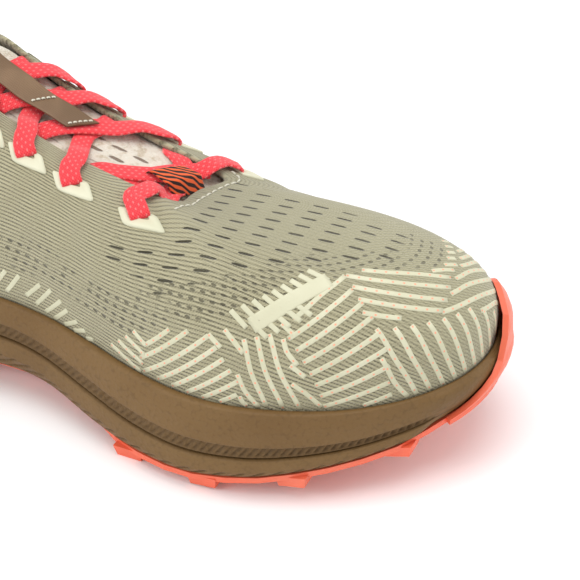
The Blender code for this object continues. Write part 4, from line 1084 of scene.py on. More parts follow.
def midsole_shell():
    """The foam: side, rounded rim, and the cup that the upper stands in."""
    stations = Stations(np.linspace(0, 2, FOAM_COLUMNS + 1))
    run = run_along(stations.points)
    at, insets, heights = side_rows(stations)
    shown = (1 - stations.plain)[None, :]
    side = np.where(stations.perimeter < 1, 1.0, -1.0)
    band = between(at, *BAND_LEVELS)[:, None]
    lean = side * (heights - heights[:1])
    ribs = np.cos((run - lean * 0.9) * 2 * math.pi / BAND_RIB[0])
    low = between(at, *LOW_LEVELS)[:, None]
    groove = np.cos((run - lean * 1.6) * 2 * math.pi / LOW_GROOVE[0])
    insets = insets + band * shown * (BAND_SUNK - BAND_RIB[1] * ribs)
    insets = insets + low * shown * LOW_GROOVE[1] * np.clip(groove, 0, 1) ** 2
    # Painted shade: the recessed band and the bottoms of its ribs and of the low grooves are darkened.
    groove_shade = shown * (band * (0.30 + 0.55 * np.clip(-ribs, 0, 1) ** 2) + low * np.clip(groove, 0, 1) ** 2)
    rows = [stations.ring(inset, height) for inset, height in zip(insets, heights)]
    rim_way = np.broadcast_to([0, 0, 1.0], rows[-1].shape)
    cup = stations.ring(stations.flare, stations.rim)
    rows += round_edge(rows[-1], cup, rim_way, 0.0004, 3)
    rows += [cup, stations.ring(stations.flare + CUP_TAPER, stations.footbed)]
    rows = np.array(rows)
    rows[:, -1] = rows[:, 0]
    levels = np.concatenate([at, np.full(len(rows) - len(at), at[-1])])
    chart = np.stack([np.broadcast_to(run, rows.shape[:2]), rows[..., 2]], -1)
    groove_shade = np.vstack([groove_shade, np.zeros((len(rows) - len(at), rows.shape[1]))])
    numbers = {"level": np.broadcast_to(levels[:, None], rows.shape[:2]), "groove_shade": groove_shade}
    return rows, {"side": chart}, numbers


rows, maps, numbers = midsole_shell()
midsole_mesh = laid_grid("foam_midsole", rows, maps, numbers, fill=True)

# %% Finish of the foam
FOAM = (0.147, 0.078, 0.022)
FOAM_LIGHT = (0.176, 0.098, 0.031)
# A darker foam, used for the cells of the grain and for painted shade.
FOAM_GRAIN_AND_SHADE = (0.074, 0.038, 0.010)


def foam_finish():
    make = Finish("foam", Specular_IOR_Level=0.35, Coat_Weight=0.06, Coat_Roughness=0.45)
    where = {"Vector": make.place(), "Scale": 780.0}
    cells = make.node("ShaderNodeTexVoronoi", {"feature": "F1"}, where, "Distance")
    grain = make.noise(620.0, 3.0)
    broad = make.noise(26.0, 3.0)
    colour = make.mix(make.rise(broad, 0.30, 0.72), FOAM, FOAM_LIGHT)
    colour = make.mix(make.rise(cells, 0.55, 0.95) * 0.30, colour, FOAM_GRAIN_AND_SHADE)
    level = make.number("level")
    # Painted shade in the deep groove and the steps round it.
    sunk = make.rise(level, 4.0, 4.8) * (1 - make.rise(level, 5.4, 6.6))
    colour = make.mix(sunk * 0.75, colour, FOAM_GRAIN_AND_SHADE)
    # Painted shade in the recessed band and the grooves.
    colour = make.mix(make.number("groove_shade") * 0.62, colour, FOAM_GRAIN_AND_SHADE)
    height = cells * 0.8 + grain * 0.6
    return make.feed(colour, roughness=0.50 + 0.25 * grain, height=height, depth=0.00016)


foam = foam_finish()
add_piece("foam_midsole", midsole_mesh, foam, ("midsole",))


# %% [markdown]
# The outsole is one moulding of coral rubber, and its imported solid already has the true sheet, lugs and toe
# bumper. It stays, with a rubber finish: a faint moulded grain, a little gloss, and a broad change of tone.

# %% Finish of the rubber
RUBBER = (0.860, 0.135, 0.062)


def rubber_finish():
    make = Finish("rubber", Specular_IOR_Level=0.45, Coat_Weight=0.10, Coat_Roughness=0.35)
    grain = make.noise(1400.0, 2.0)
    broad = make.noise(30.0, 2.0)
    colour = make.mix(make.rise(broad, 0.35, 0.75), RUBBER, (0.820, 0.165, 0.085))
    return make.feed(colour, roughness=0.38 + 0.20 * grain, height=grain, depth=0.00006)


rubber = rubber_finish()
outsole_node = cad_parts["outsole"]
for slot in outsole_node.material_slots:
    slot.material = rubber
if not outsole_node.material_slots:
    outsole_node.data.materials.append(rubber)

# %% [markdown]
# The footbed is a loose sheet of foam with a cloth face. It is a grid laid across the shoe between the two
# edges of the cup, with its edge turned down, and a Solidify modifier gives it its thickness.

# %% The footbed
FOOTBED_DROP = 0.0012


def footbed_mesh():
    stations = Stations(np.linspace(0, 2, 400, False))
    inset = stations.flare + CUP_TAPER + WALL + 2 * GAP
    ring = stations.ring(inset, stations.footbed + GAP + INSOLE_THICKNESS)
    outer, inner = [ring[side][np.argsort(ring[side][:, 0])] for side in (ring[:, 1] < 0, ring[:, 1] >= 0)]
    low, high = ring[:, 0].min(), ring[:, 0].max()
    places = low + (high - low) * (1 - np.cos(np.linspace(0, math.pi, 120))) / 2
    ends = [np.interp(places, side[:, 0], side[:, 1]) for side in (outer, inner)]
    top = np.interp(places, outer[:, 0], outer[:, 2])
    across = np.linspace(0, 1, 30)
    y = ends[0] + (ends[1] - ends[0]) * across[:, None]
    edge = np.minimum(across, 1 - across)[:, None]
    z = top - FOOTBED_DROP * (1 - ease(edge, 0, 0.10))
    points = np.stack([np.broadcast_to(places, y.shape), y, z], -1)
    return laid_grid("footbed", points, {"wall": points[..., :2]})


def footbed_finish():
    """A plain weave on a UV map in metres."""
    make = Finish("footbed_cloth", Sheen_Weight=0.3, Specular_IOR_Level=0.25)
    u, v = make.chart("wall")
    weave = make.wave(u, 0.0011) * make.wave(v, 0.0011)
    fuzz = make.noise(900.0, 2.0)
    worn = make.rise(weave, 0.1, 0.8) * 0.7 + (fuzz - 0.5) * 0.4
    colour = make.mix(worn, (0.20, 0.17, 0.11), (0.42, 0.37, 0.27))
    return make.feed(colour, roughness=0.9 - 0.1 * weave, height=weave + fuzz * 0.4, depth=0.0002)


cloth = footbed_finish()
footbed = add_piece("footbed", footbed_mesh(), cloth, ("insole",))
wall_of = footbed.modifiers.new("thickness", "SOLIDIFY")
wall_of.thickness, wall_of.offset = INSOLE_THICKNESS - FOOTBED_DROP, -1


# %% [markdown]
# The tongue is a padded sleeve of soft mottled knit. It is a closed tube of rows across the throat, thick in
# the middle and thin at its sewn edges, with its two ends drawn shut. Small vents are knitted through it
# between the crossings of the lace, painted dark as the shade seen through them, and a coral line is sewn
# along its top edge.

# %% The tongue
TONGUE_COLUMNS = 44
TONGUE_PLACES = 110


def tongue_shell():
    across = np.linspace(-1.5, 1.5, TONGUE_COLUMNS)
    places = np.linspace(TONGUE.along[0], TONGUE.along[-1], TONGUE_PLACES)
    face = smooth(TONGUE.along, TONGUE.rows.reshape(len(TONGUE.along), -1), places)
    face = face.reshape(TONGUE_PLACES, -1, 3)
    face = np.array([smooth(TONGUE.across, row, across) for row in face])
    out = unit(np.cross(np.gradient(face, axis=1), np.gradient(face, axis=0)))
    run = run_along(face.mean(1))
    side = np.array([run_along(row) for row in face])
    side -= side.mean(1, keepdims=True)
    puff = 1 - np.abs(across / 1.5) ** 4
    ends = between(np.arange(TONGUE_PLACES), 0, 6, TONGUE_PLACES - 5, TONGUE_PLACES - 1)
    depth = TONGUE_THICKNESS * (0.35 + 0.65 * puff[None, :]) * np.maximum(ends, 0.05)[:, None]
    inner = face - out * depth[..., None]
    rows, sides, runs = [], [], []
    for i in range(TONGUE_PLACES):
        step = unit(face[i, -1] - face[i, -2])
        right_edge = round_edge(face[i, -1:], inner[i, -1:], step, depth[i, -1] * 0.6, 3)
        left_edge = round_edge(inner[i, :1], face[i, :1], unit(face[i, 0] - face[i, 1]), depth[i, 0] * 0.6, 3)
        rows.append(np.vstack([face[i], *right_edge, inner[i][::-1], *left_edge, face[i, :1]]))
        sides.append(np.concatenate([side[i], [side[i, -1]] * 3, side[i][::-1], [side[i, 0]] * 4]))
        runs.append(np.full(len(rows[-1]), run[i]))
    rows = np.array(rows)
    return rows, {"wall": np.stack([np.array(runs), np.array(sides)], -1)}


rows, maps = tongue_shell()
tongue_mesh = laid_grid("padded_tongue", rows, maps, fill=True)
TONGUE_LENGTH = maps["wall"][-1, 0, 0]
print("tongue", round(TONGUE_LENGTH * 1000, 1), "mm long")


# %% Finish of the tongue
VENT_GRID = (0.0070, 0.0085)
VENT_SIZE = (0.0017, 0.0052)


def tongue_finish():
    make = Finish("tongue_knit", Roughness=0.88, Sheen_Weight=0.35, Specular_IOR_Level=0.2)
    run, side = make.chart("wall")
    blotch = make.rise(make.noise(330.0, 3.0), 0.44, 0.70)
    speck = make.rise(make.noise(900.0, 2.0), 0.45, 0.68)
    colour = make.mix(blotch, (0.69, 0.64, 0.54), (0.50, 0.42, 0.30))
    colour = make.mix(speck * 0.6, colour, (0.74, 0.71, 0.62))
    across = make.cell(side + 0.0010, VENT_GRID[0], VENT_SIZE[0] / 2)
    length = make.cell(run + side * 0.25, VENT_GRID[1], VENT_SIZE[1] / 2)
    vent = 1 - make.rise(across * across + length * length * length * length, 0.6, 1.4)
    far_side = make.rise(side, -0.012, -0.010) * (1 - make.rise(side, 0.008, 0.009))
    vent = vent * far_side
    # Painted shade: the vents are dark, as the inside seen through them is in shade.
    colour = make.mix(vent * 0.85, colour, (0.130, 0.075, 0.040))
    loops = make.wave(run, 0.0010) * 0.5 + make.wave(side, 0.0012) * 0.5
    end = make.rise(run, TONGUE_LENGTH - 0.0046, TONGUE_LENGTH - 0.0040)
    colour = make.mix(end, colour, (0.80, 0.13, 0.08))
    return make.feed(colour, height=loops * 0.5 + speck * 0.4 - vent * 1.2, depth=0.00035)


tongue_piece = add_piece("padded_tongue", tongue_mesh, tongue_finish(), ("tongue",))

# %% [markdown]
# The lace is a flat woven tape. Each crossing has two runs, which come up through an eyelet, go over the edge
# of the throat, lie across the tongue, and dive under the far edge. A run is a soft-edged oblong swept along
# that path.

# %% Sweep a flat tape along a path
TAPE_CORNERS = 14
TAPE_POWER = 0.55


def swept_tape(path, normals, width, thickness, steps=64):
    """A tape of rounded oblong section along points, with its chart along and round it."""
    path, normals = np.asarray(path, float), np.asarray(normals, float)
    knots = run_along(path)
    at = np.linspace(0, knots[-1], steps)
    line, out = smooth(knots, path, at), unit(smooth(knots, normals, at))
    way = unit(np.gradient(line, axis=0))
    side = unit(np.cross(way, out))
    out = np.cross(side, way)
    turn = np.linspace(0, 2 * math.pi, TAPE_CORNERS + 1)
    flat = np.stack([np.cos(turn), np.sin(turn)], 1)
    flat = np.sign(flat) * np.abs(flat) ** TAPE_POWER
    widths = np.broadcast_to(width, (steps,))[:, None, None]
    wide = side[:, None] * flat[None, :, :1] * widths / 2
    points = line[:, None] + (wide + out[:, None] * flat[None, :, 1:] * thickness / 2)
    chart = np.stack(np.broadcast_arrays(at[:, None], flat[None, :, 0] * widths[..., 0] / 2), -1)
    return points, chart


def joined(name, parts):
    """One mesh in place of several."""
    whole = bmesh.new()
    for part in parts:
        whole.from_mesh(part)
        bpy.data.meshes.remove(part)
    data = bpy.data.meshes.new(name)
    whole.to_mesh(data)
    whole.free()
    return data


def tape_mesh(name, tapes):
    """Several swept tapes as one mesh, each closed at its ends."""
    return joined(name, (laid_grid(name, points, {"wall": chart}, fill=True) for points, chart in tapes))


# %% Runs of the lace
# Depths of the first points inside the eyelet, and places across the tongue from the run's own side
LACE_DEPTHS = (-0.004, -0.0016, 0.0010)
LACE_PLACES = (-0.46, -0.22, 0.0, 0.30, 0.58, 0.82, 1.02, 1.16)
FIRST_CLIMB = 0.09
HALF_LACE = LACE_THICKNESS * 0.55
# The run that lies on top rises over the other one: how high, as a share of its thickness, and how far across
LACE_HUMP, LACE_HUMP_REACH = 1.25, 0.62
# The keeper gathers the first pair at these places, which a run reaches and leaves at these shares of its way
GATHERED = {"outer": 0.095, "inner": 0.145}
RUN_ARRIVES, RUN_LEAVES = (0.0, 0.30), (0.45, 1.0)
# How far a run leans towards the toe, as a share of the way to the next eyelet: in full soon after the slot
LACE_LEANS = {"outer": 0.58, "inner": 0.05}
GATHERED_LEAN, LEAN_AT_SLOT, LEAN_IS_FULL, LEAN_ENDS = 0.35, 0.15, 0.22, 0.85
LEAST_PLACE = 0.015


def lace_run(side, low, high, held, over):
    """Path, normals and widths of one run, from inside its eyelet to under the far edge."""
    slot = EYELET_UP[side]
    hole = throat_sides(low)[side]
    base, out = UPPER.outer(hole, slot)[0], UPPER.normals(hole, slot)[0]
    climb = unit(UPPER.outer(hole, slot + 0.04)[0] - base)
    lift = PATCH_THICKNESS + HALF_LACE + GAP
    points = [base + out * depth - climb * 0.0006 for depth in LACE_DEPTHS]
    normals = [out * 0.3 - climb, out * 0.4 - climb, out * 0.8 - climb * 0.7]
    points.append(base + out * lift + climb * 0.0022)
    normals.append(out)
    ups = np.linspace(slot + FIRST_CLIMB, 1.0, 3)
    share = np.linspace(0, 1, len(ups) + len(LACE_PLACES))
    dive = (high - low) * LACE_DIVES[side]
    v = low + dive * share
    if held:
        v = low + (held - low) * ease(share, *RUN_ARRIVES) + (low + dive - held) * ease(share, *RUN_LEAVES)
    lean = (high - low) * LACE_LEANS[side] * (GATHERED_LEAN if held else 1.0)
    ends = RUN_LEAVES[0] if held else LEAN_ENDS
    lean = lean * np.interp(share, (0.0, LEAN_IS_FULL, ends), (LEAN_AT_SLOT, 1.0, 0.0))
    v = np.maximum(v - lean, LEAST_PLACE)
    for up, place in zip(ups, v):
        perimeter = throat_sides(place)[side]
        point, out = UPPER.outer(perimeter, up)[0], UPPER.normals(perimeter, up)[0]
        if up == 1.0:
            point = point + unit(point - UPPER.outer(perimeter, 0.9)[0]) * LINING_ROUND
        points.append(point + out * (lift + 0.0002))
        normals.append(out)
    places = np.array(LACE_PLACES)
    across = places * (1 if side == "outer" else -1)
    rest = v[len(ups) :]
    outs = TONGUE.normals(across, rest)
    hump = LACE_THICKNESS * (LACE_HUMP if over else 0.0) * np.exp(-((across / LACE_HUMP_REACH) ** 2))
    sink = -0.0007 * ease(places, 0.72, 1.0)
    start = 0.0010 * (1 - ease(places, -0.7, -0.1))
    resting = TONGUE.at(across, rest) + outs * (GAP + HALF_LACE + hump + sink + start)[:, None]
    return np.vstack([points, resting]), np.vstack([normals, outs])


def lace_finish():
    make = Finish("lace", Roughness=0.78, Sheen_Weight=0.25, Specular_IOR_Level=0.25)
    run, side = make.chart("wall")
    pitch, rows = 0.0024, 0.00135
    odd = (((side / rows) % 2.0) > 1.0) * (pitch / 2)
    dot_x = make.cell(run + odd, pitch, 0.00046)
    dot_y = make.cell(side, rows, 0.00028)
    dots = 1 - make.rise(dot_x * dot_x + dot_y * dot_y, 0.5, 1.3)
    weave = make.wave(run + side, 0.0009) * 0.5 + make.wave(run - side, 0.0009) * 0.5
    colour = make.mix(make.rise(weave, 0.15, 0.75), (0.70, 0.030, 0.040), (0.93, 0.066, 0.078))
    colour = make.mix(dots * 0.50, colour, (1.0, 0.33, 0.32))
    return make.feed(colour, height=weave * 0.7 + dots * 0.5, depth=0.00022)


lace = lace_finish()
tape_size = (LACE_WIDTH, LACE_THICKNESS)
for number, (low, high) in enumerate(zip(EYELET_PLACES, EYELET_PLACES[1:]), 1):
    gathered = GATHERED if number == 1 else {}
    tapes = [
        swept_tape(*lace_run(side, low, high, gathered.get(side), over), *tape_size)
        for side, over in (("outer", False), ("inner", True))
    ]
    if number == 1:
        across = np.linspace(-0.95, 0.95, 11)
        v = np.full(11, BAR_PLACE)
        outs = TONGUE.normals(across, v)
        bar = TONGUE.at(across, v) + outs * (GAP + LACE_THICKNESS / 2)
        tapes.append(swept_tape(bar, outs, *tape_size))
    name = f"lace_pair_{number}"
    add_piece(name, tape_mesh(name, tapes), lace, (f"lace_cross_{number}",))

# %% [markdown]
# The label and the keeper are short tapes laid lengthwise on the tongue. The keeper is a striped webbing
# bridge that gathers the first crossing, and the label is a smooth brown tape, sewn down by short rows of
# stitches.

# %% Label and keeper
def lengthwise_tape(name, span, lift, width, thickness):
    """A tape along the middle of the tongue, bent across with it, at a lift for each of its places."""
    places = np.linspace(*span, len(lift))
    turn = np.linspace(0, 2 * math.pi, 25)
    flat = np.stack([np.cos(turn), np.sin(turn)], 1)
    flat = np.sign(flat) * np.abs(flat) ** np.array([0.75, 0.35])
    rows, chart, run, last = [], [], 0.0, None
    for v, height in zip(places, lift):
        across = flat[:, 0] * width / 2 / TONGUE.half_width(v)
        out = TONGUE.normals(across, np.full(25, v))
        middle = TONGUE.at(across, np.full(25, v)) + out * (height + thickness / 2)
        rows.append(middle + out * (flat[:, 1:] * thickness / 2))
        run += 0.0 if last is None else np.linalg.norm(middle[6] - last)
        last = middle[6]
        chart.append(np.stack([np.full(25, run), flat[:, 0] * width / 2], 1))
    rows = np.array(rows)
    rows[:, -1] = rows[:, 0]
    return laid_grid(name, rows, {"wall": np.array(chart)}, fill=True)


over_lace = LACE_THICKNESS * (1.05 + LACE_HUMP) + 3 * GAP
LABEL_WAVES, LABEL_WAVE_HEIGHT = 3, 0.0006
share = np.linspace(0, 1, 44)
lift = GAP + (over_lace + GAP) * between(share, 0.0, 0.30, 0.72, 1.0)
keeper_data = lengthwise_tape("keeper_webbing", KEEPER_SPAN, lift, KEEPER_WIDTH, KEEPER_THICKNESS)
share = np.linspace(0, 1, 70)
waves = LABEL_WAVE_HEIGHT * (1 - np.cos(share * LABEL_WAVES * 2 * math.pi)) / 2
lift = GAP + (over_lace - GAP) * (1 - ease(share, 0.80, 0.97)) + waves
label_data = lengthwise_tape("tongue_label", LABEL_SPAN, lift, LABEL_WIDTH, LABEL_THICKNESS)


def webbing_finish():
    make = Finish("webbing", Roughness=0.8, Sheen_Weight=0.2, Specular_IOR_Level=0.25)
    run, side = make.chart("wall")
    zig = ((side / 0.0016) % 2.0 - 1.0).sum("ABSOLUTE") * 0.0006
    stripe = make.rise(make.wave(run * 0.55 + side * 0.85 + zig, 0.00175), 0.42, 0.58)
    twist = make.wave(side - run, 0.0006)
    colour = make.mix(stripe, (0.030, 0.012, 0.008), (0.780, 0.120, 0.030))
    return make.feed(colour, height=stripe + twist * 0.3, depth=0.00025)


def label_finish():
    make = Finish("label_cloth", Specular_IOR_Level=0.4)
    run, side = make.chart("wall")
    weave = make.wave(run, 0.0007) * make.wave(side, 0.0007)
    broad = make.noise(90.0, 2.0)
    colour = make.mix(make.rise(broad, 0.3, 0.75), (0.150, 0.086, 0.042), (0.210, 0.126, 0.066))
    return make.feed(colour, roughness=0.44 + 0.2 * weave, height=weave, depth=0.00010)


add_piece("keeper_webbing", keeper_data, webbing_finish(), ("lace_keeper",))
add_piece("label_tape", label_data, label_finish(), ("tongue_label",))


# %% [markdown]
# Everything welded or sewn on the knit is placed on a chart of the wall: the share of the way round the shoe,
# and the height up the wall in millimetres. One function turns such a place into a point and its outward
# direction.

# %% Places on the wall
def on_wall(perimeter, height):
    """Points and outward directions at perimeter shares and heights up the wall in millimetres."""
    perimeter, height = np.atleast_1d(perimeter).astype(float), np.atleast_1d(height) / 1000
    at = (perimeter % 2) / 2 * WALL_COLUMNS
    low = np.minimum(at.astype(int), WALL_COLUMNS - 1)
    ups = []
    for k, t, wanted in zip(low, at - low, height):
        climb = wall_climb[:, k] * (1 - t) + wall_climb[:, k + 1] * t
        ups.append(np.interp(wanted, climb, wall_ups))
    ups = np.array(ups)
    out = UPPER.normals(perimeter, ups)
    return UPPER.outer(perimeter, ups) + out * fold_height(perimeter, ups)[:, None], out


def wall_tape(path, width, thickness, steps=10, lift=0.0):
    """A tape along places on the wall, given as perimeter shares and heights."""
    path = np.array(path, float)
    at = np.linspace(0, 1, 9)
    places = smooth(np.linspace(0, 1, len(path)), path, at)
    points, out = on_wall(places[:, 0], places[:, 1])
    return swept_tape(points + out * lift, out, width, thickness, steps)


# %% [markdown]
# The toe is armoured with thin cream lines, welded on in groups that meet at an angle, and each has small
# coral dots. A group is given by its first and last line and how many there are, and the lines between are
# spread evenly.

# %% Cream lines on the toe
LINE_WIDTH, LINE_THICKNESS = 0.00165, 0.00045
LINE_GROUPS = (
    (1, ((0.617, 13.0), (0.655, 22.5)), None),
    (1, ((0.604, 6.5), (0.678, 24.0)), None),
    (5, ((0.604, 1.5), (0.700, 24.0)), ((0.674, 0.4), (0.717, 9.5))),
    (1, ((0.693, 0.4), (0.713, 4.5)), None),
    (4, ((0.604, 16.0), (0.617, 12.5)), ((0.563, 5.0), (0.600, 0.5))),
    (1, ((0.700, 24.5), (0.709, 20.5)), None),
    (1, ((0.720, 27.0), (0.731, 19.5)), None),
    (3, ((0.737, 24.5), (0.733, 13.0), (0.741, 1.0)), ((0.766, 27.0), (0.762, 14.0), (0.774, 0.5))),
    (1, ((0.778, 25.5), (0.776, 21.0), (0.781, 16.5)), None),
    (2, ((0.718, 12.0), (0.722, 6.0), (0.733, 0.5)), ((0.715, 4.0), (0.717, 2.0), (0.721, 0.5))),
    (1, ((0.785, 31.0), (0.791, 27.0)), None),
    (1, ((0.774, 16.5), (0.785, 12.5)), None),
    (1, ((0.770, 10.0), (0.782, 6.5), (0.795, 1.5)), None),
    (1, ((0.800, 32.5), (0.850, 42.0), (0.895, 49.5)), None),
    (7, ((0.783, 25.5), (0.835, 34.5), (0.885, 43.0)), ((0.797, 1.6), (0.830, 4.9), (0.862, 8.2))),
    (1, ((0.835, 0.5), (0.863, 3.4)), None),
    (1, ((0.896, 49.5), (0.935, 40.0), (0.969, 30.6)), None),
    (1, ((0.888, 44.2), (0.918, 36.9), (0.953, 28.0)), None),
    (1, ((0.880, 38.8), (0.902, 33.9), (0.940, 25.8)), None),
    (1, ((0.872, 33.5), (0.885, 31.0), (0.900, 28.5)), None),
    (1, ((0.918, 50.5), (0.955, 41.5), (0.981, 32.9)), None),
    (7, ((0.872, 27.0), (0.873, 15.0), (0.888, 0.5)), ((0.966, 22.0), (0.967, 10.0), (0.975, 0.5))),
    (1, ((0.982, 18.0), (0.984, 9.0), (0.992, 0.5)), None),
    (1, ((1.000, 14.0), (1.004, 8.0), (1.010, 3.0)), None),
    (1, ((0.861, 17.0), (0.866, 8.0), (0.879, 0.5)), None),
    (1, ((0.938, 25.5), (0.990, 22.0), (1.045, 13.0)), None),
    (1, ((0.978, 18.5), (1.010, 15.0), (1.035, 9.5)), None),
    (1, ((0.962, 28.9), (0.994, 26.7), (1.049, 16.5)), None),
    (1, ((0.984, 31.5), (1.014, 28.0), (1.060, 17.5)), None),
    (3, ((1.009, 32.0), (1.051, 23.9), (1.075, 17.0)), ((1.039, 32.8), (1.068, 26.8), (1.095, 20.0))),
    (1, ((0.974, 38.6), (0.986, 36.1), (0.995, 33.4)), None),
    (1, ((0.994, 37.0), (1.007, 33.2)), None),
    (4, ((1.009, 37.0), (1.018, 34.2)), ((1.049, 37.5), (1.058, 34.2))),
    (6, ((1.060, 11.0), (1.070, 6.0), (1.076, 0.5)), ((1.120, 27.0), (1.160, 14.0), (1.190, 0.5))),
)


def lines_of(groups):
    """Every line of the groups, as a path of places on the wall."""
    found = []
    for count, first, last in groups:
        first, last = np.array(first), np.array(last or first)
        found += [first + (last - first) * share for share in np.linspace(0, 1, count)]
    return found


def film_finish(name, dots):
    """Cream welded film, with a row of coral dots along its middle where it has them."""
    make = Finish(name, Specular_IOR_Level=0.4)
    run, side = make.chart("wall")
    broad = make.noise(60.0, 2.0)
    grain = make.noise(1500.0, 2.0)
    colour = make.mix(make.rise(broad, 0.3, 0.7), (0.570, 0.555, 0.390), (0.630, 0.612, 0.445))
    if dots:
        along = make.cell(run + 0.0012, 0.0035, 0.00040)
        over = side / 0.00032
        dot = 1 - make.rise(along * along + over * over, 0.5, 1.4)
        colour = make.mix(dot * 0.70, colour, (0.90, 0.26, 0.15))
    return make.feed(colour, roughness=0.42 + 0.2 * grain, height=grain, depth=0.00005)


film_dotted = film_finish("film_with_dots", True)
film = film_finish("film", False)
tapes = [wall_tape(path, LINE_WIDTH, LINE_THICKNESS) for path in lines_of(LINE_GROUPS)]
add_piece("toe_lines", tape_mesh("toe_lines", tapes), film_dotted)

# %% [markdown]
# Behind the toe lines a plain cream patch is welded on, with its short tabs, and a row of slanting bars runs
# along the bottom of the wall, getting shorter towards the toe.

# %% Patch and bars
PATCH_PATH = ((0.751, 29.3), (0.806, 38.8), (0.874, 48.4))
PATCH_WIDTH = 0.0053
TAB_GROUPS = (
    (9, ((0.736, 34.0), (0.745, 28.5)), ((0.864, 53.5), (0.873, 48.0))),
    (5, ((0.752, 31.0), (0.762, 25.5)), ((0.812, 40.0), (0.822, 34.0))),
)
SLANTED_BARS = (
    ((0.452, 5.0), (0.475, 12.5)), ((0.462, 3.0), (0.489, 12.8)),
    ((0.472, 1.5), (0.500, 10.5)), ((0.482, 0.5), (0.506, 8.0)), ((0.495, 0.4), (0.517, 5.5)),
    ((0.508, 0.4), (0.526, 3.5)), ((0.525, 0.3), (0.535, 1.4)),
)
REAR_BARS = ((9, ((0.300, 3.0), (0.320, 11.0)), ((0.428, 3.5), (0.450, 12.5))),)
INNER_BARS = ((14, ((1.480, 0.5), (1.474, 2.0)), ((1.700, 3.0), (1.680, 11.0))),)
tapes = [wall_tape(PATCH_PATH, PATCH_WIDTH, 0.0006, 24)]
tapes += [wall_tape(path, LINE_WIDTH, 0.0005) for path in lines_of(TAB_GROUPS)]
bars = [*SLANTED_BARS, *lines_of(REAR_BARS), *lines_of(INNER_BARS)]
tapes += [wall_tape(path, LINE_WIDTH, LINE_THICKNESS) for path in bars]
add_piece("bare_patch_and_bars", tape_mesh("bare_patch_and_bars", tapes), film)

# %% [markdown]
# Each lace slot is bound by a rounded patch of the same film. A patch is a set of rings on the upper's own
# surface: its edge, its flat face, the lip of the slot, and a sunk floor that the lace comes up through,
# painted dark as the shade inside the slot.

# %% Eyelet patches
PATCH_SIZES = {1: 0.0164, 2: 0.0160, 3: 0.0150, 4: 0.0126, 5: 0.0124}
PATCH_HEIGHT = 0.0078
PATCH_BELOW_SLOT = 0.0018
PATCH_LEAN = 0.26
PATCH_SHAPE = 0.30
PATCH_CORNERS = 48


def rounded(size, power):
    """Points round an oblong of this size. A lower power makes squarer corners."""
    turn = np.linspace(0, 2 * math.pi, PATCH_CORNERS + 1)
    pair = np.stack([np.cos(turn), np.sin(turn)], 1)
    return np.sign(pair) * np.abs(pair) ** power * np.array(size) / 2


def eyelet_patch(side, number, perimeter):
    up = EYELET_UP[side]
    run = np.linalg.norm(UPPER.outer(perimeter + 0.01, up) - UPPER.outer(perimeter, up)) / 0.01
    climb = np.linalg.norm(UPPER.outer(perimeter, up) - UPPER.outer(perimeter, up - 0.1)) / 0.1
    edge = np.array([PATCH_SIZES[number], PATCH_HEIGHT])
    slot = np.array(EYELET_SLOT)
    rings = (
        (edge, PATCH_SHAPE, 0.0), (edge, PATCH_SHAPE, 0.6), (edge - 0.0005, PATCH_SHAPE, 1.0),
        (edge * 0.6 + slot * 0.4, 0.5, 1.0), (slot + 0.0005, 0.6, 1.0), (slot, 0.6, 0.7),
        (slot - 0.0003, 0.6, 0.1),
    )
    rows, dark = [], []
    for size, power, rise in rings:
        flat = rounded(size, power) - np.array([0, PATCH_BELOW_SLOT]) * (size[0] > slot[0] * 1.5)
        flat[:, 1] += flat[:, 0] * PATCH_LEAN * (1 if side == "outer" else -1)
        shares, ups = perimeter + flat[:, 0] / run, np.clip(up + flat[:, 1] / climb, 0, 1)
        out = UPPER.normals(shares, ups)
        fold = fold_height(shares, ups)[:, None]
        rows.append(UPPER.outer(shares, ups) + out * (fold - 0.0002 + (0.0002 + PATCH_THICKNESS) * rise))
        # The rings of the slot's sunk floor are marked for painted shade.
        dark.append(np.full(len(flat), 1.0 if rise < 0.5 and size is not edge else 0.0))
    rows = np.array(rows)
    rows[:, -1] = rows[:, 0]
    return laid_grid("patch", rows, {"wall": rows[..., :2]}, {"dark": np.array(dark)}, fill=True)


def patch_finish():
    make = Finish("eyelet_film", Specular_IOR_Level=0.4)
    grain = make.noise(1500.0, 2.0)
    broad = make.noise(70.0, 2.0)
    colour = make.mix(make.rise(broad, 0.3, 0.7), (0.600, 0.590, 0.425), (0.660, 0.645, 0.485))
    # Painted shade: the floor of the slot is dark.
    colour = make.mix(make.number("dark"), colour, (0.06, 0.02, 0.015))
    return make.feed(colour, roughness=0.40 + 0.2 * grain, height=grain, depth=0.00005)


patches = joined("eyelet_films", (eyelet_patch(*eyelet) for eyelet in eyelets()))
nodes = [f"eyelet_patch_{side}_{number}" for side, number, _ in eyelets()]
add_piece("eyelet_films", patches, patch_finish(), nodes)

# %% [markdown]
# Stitches are short raised dashes of pale thread. One row curves round the front of the throat, and short
# rows across the label hold it down.

# %% Stitches
STITCH_LENGTH, STITCH_STEP, THREAD = 0.0019, 0.0027, 0.00062
THROAT_STITCH = ((0.735, 9.5), (0.775, 5.0), (0.85, 3.4), (1.00, 3.4), (1.15, 3.8), (1.262, 4.6))


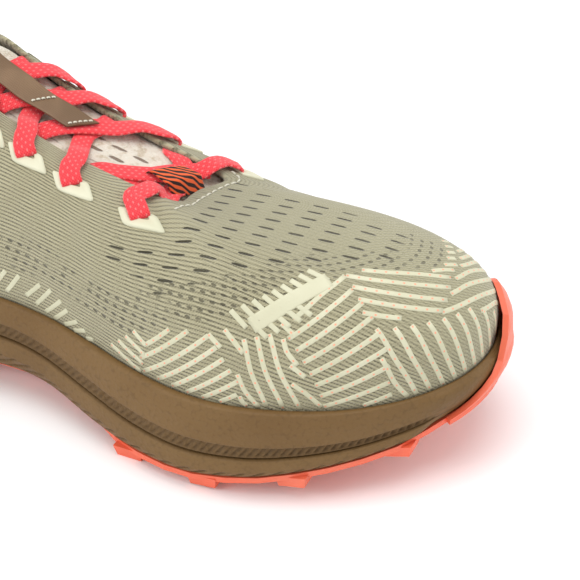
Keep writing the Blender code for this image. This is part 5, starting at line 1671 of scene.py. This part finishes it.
def dashes(points, out, length=STITCH_LENGTH, step=STITCH_STEP):
    """Short threads spaced along a line of points."""
    run = run_along(points)
    made = []
    for start in np.arange(step / 2, run[-1] - length, step):
        at = np.linspace(start, start + length, 5)
        line = np.column_stack([np.interp(at, run, points[:, k]) for k in range(3)])
        way = np.column_stack([np.interp(at, run, out[:, k]) for k in range(3)])
        sunk = THREAD * 0.45 * np.cos(np.linspace(-1, 1, 5) * math.pi / 2)
        made.append(swept_tape(line + unit(way) * sunk[:, None], way, THREAD, THREAD * 0.8, 6))
    return made


def throat_stitches():
    places = np.linspace(THROAT_STITCH[0][0], THROAT_STITCH[-1][0], 160)
    down = smooth(*np.array(THROAT_STITCH).T, places)
    highest = np.interp(places / 2 * WALL_COLUMNS, np.arange(WALL_COLUMNS + 1), wall_climb[-1]) * 1000
    points, out = on_wall(places, highest - down)
    return dashes(points, out)


def cross_stitches(v, lift, width):
    across = np.linspace(-0.44, 0.44, 30) * width / TONGUE.half_width(v)
    out = TONGUE.normals(across, np.full(30, v))
    return dashes(TONGUE.at(across, np.full(30, v)) + out * lift, out, 0.0011, 0.0018)


threads = throat_stitches()
label_lift = over_lace + LABEL_THICKNESS
label_rows = (
    (LABEL_SPAN[0] + 0.012, label_lift), (LABEL_SPAN[0] + 0.17, label_lift + 0.0003),
    (LABEL_SPAN[1] - 0.02, GAP + LABEL_THICKNESS),
)
for v, lift in label_rows:
    threads += cross_stitches(v, lift, LABEL_WIDTH)


def thread_finish():
    make = Finish("thread", Roughness=0.7, Sheen_Weight=0.2)
    run, side = make.chart("wall")
    twist = make.wave(run * 2.0 + side, 0.0008)
    colour = make.mix(twist, (0.52, 0.49, 0.37), (0.84, 0.82, 0.70))
    return make.feed(colour, height=twist, depth=0.0001)


add_piece("stitches", tape_mesh("stitches", threads), thread_finish())

# %% [markdown]
# The floor gets a plain pale finish.

# %% Floor finish
make = Finish("pale_floor", Roughness=0.9, Specular_IOR_Level=0.1)
shade = make.mix(make.rise(make.noise(3.0), 0.2, 0.8), (0.93, 0.93, 0.93), (0.95, 0.95, 0.95))
floor.data.materials.append(make.feed(shade))
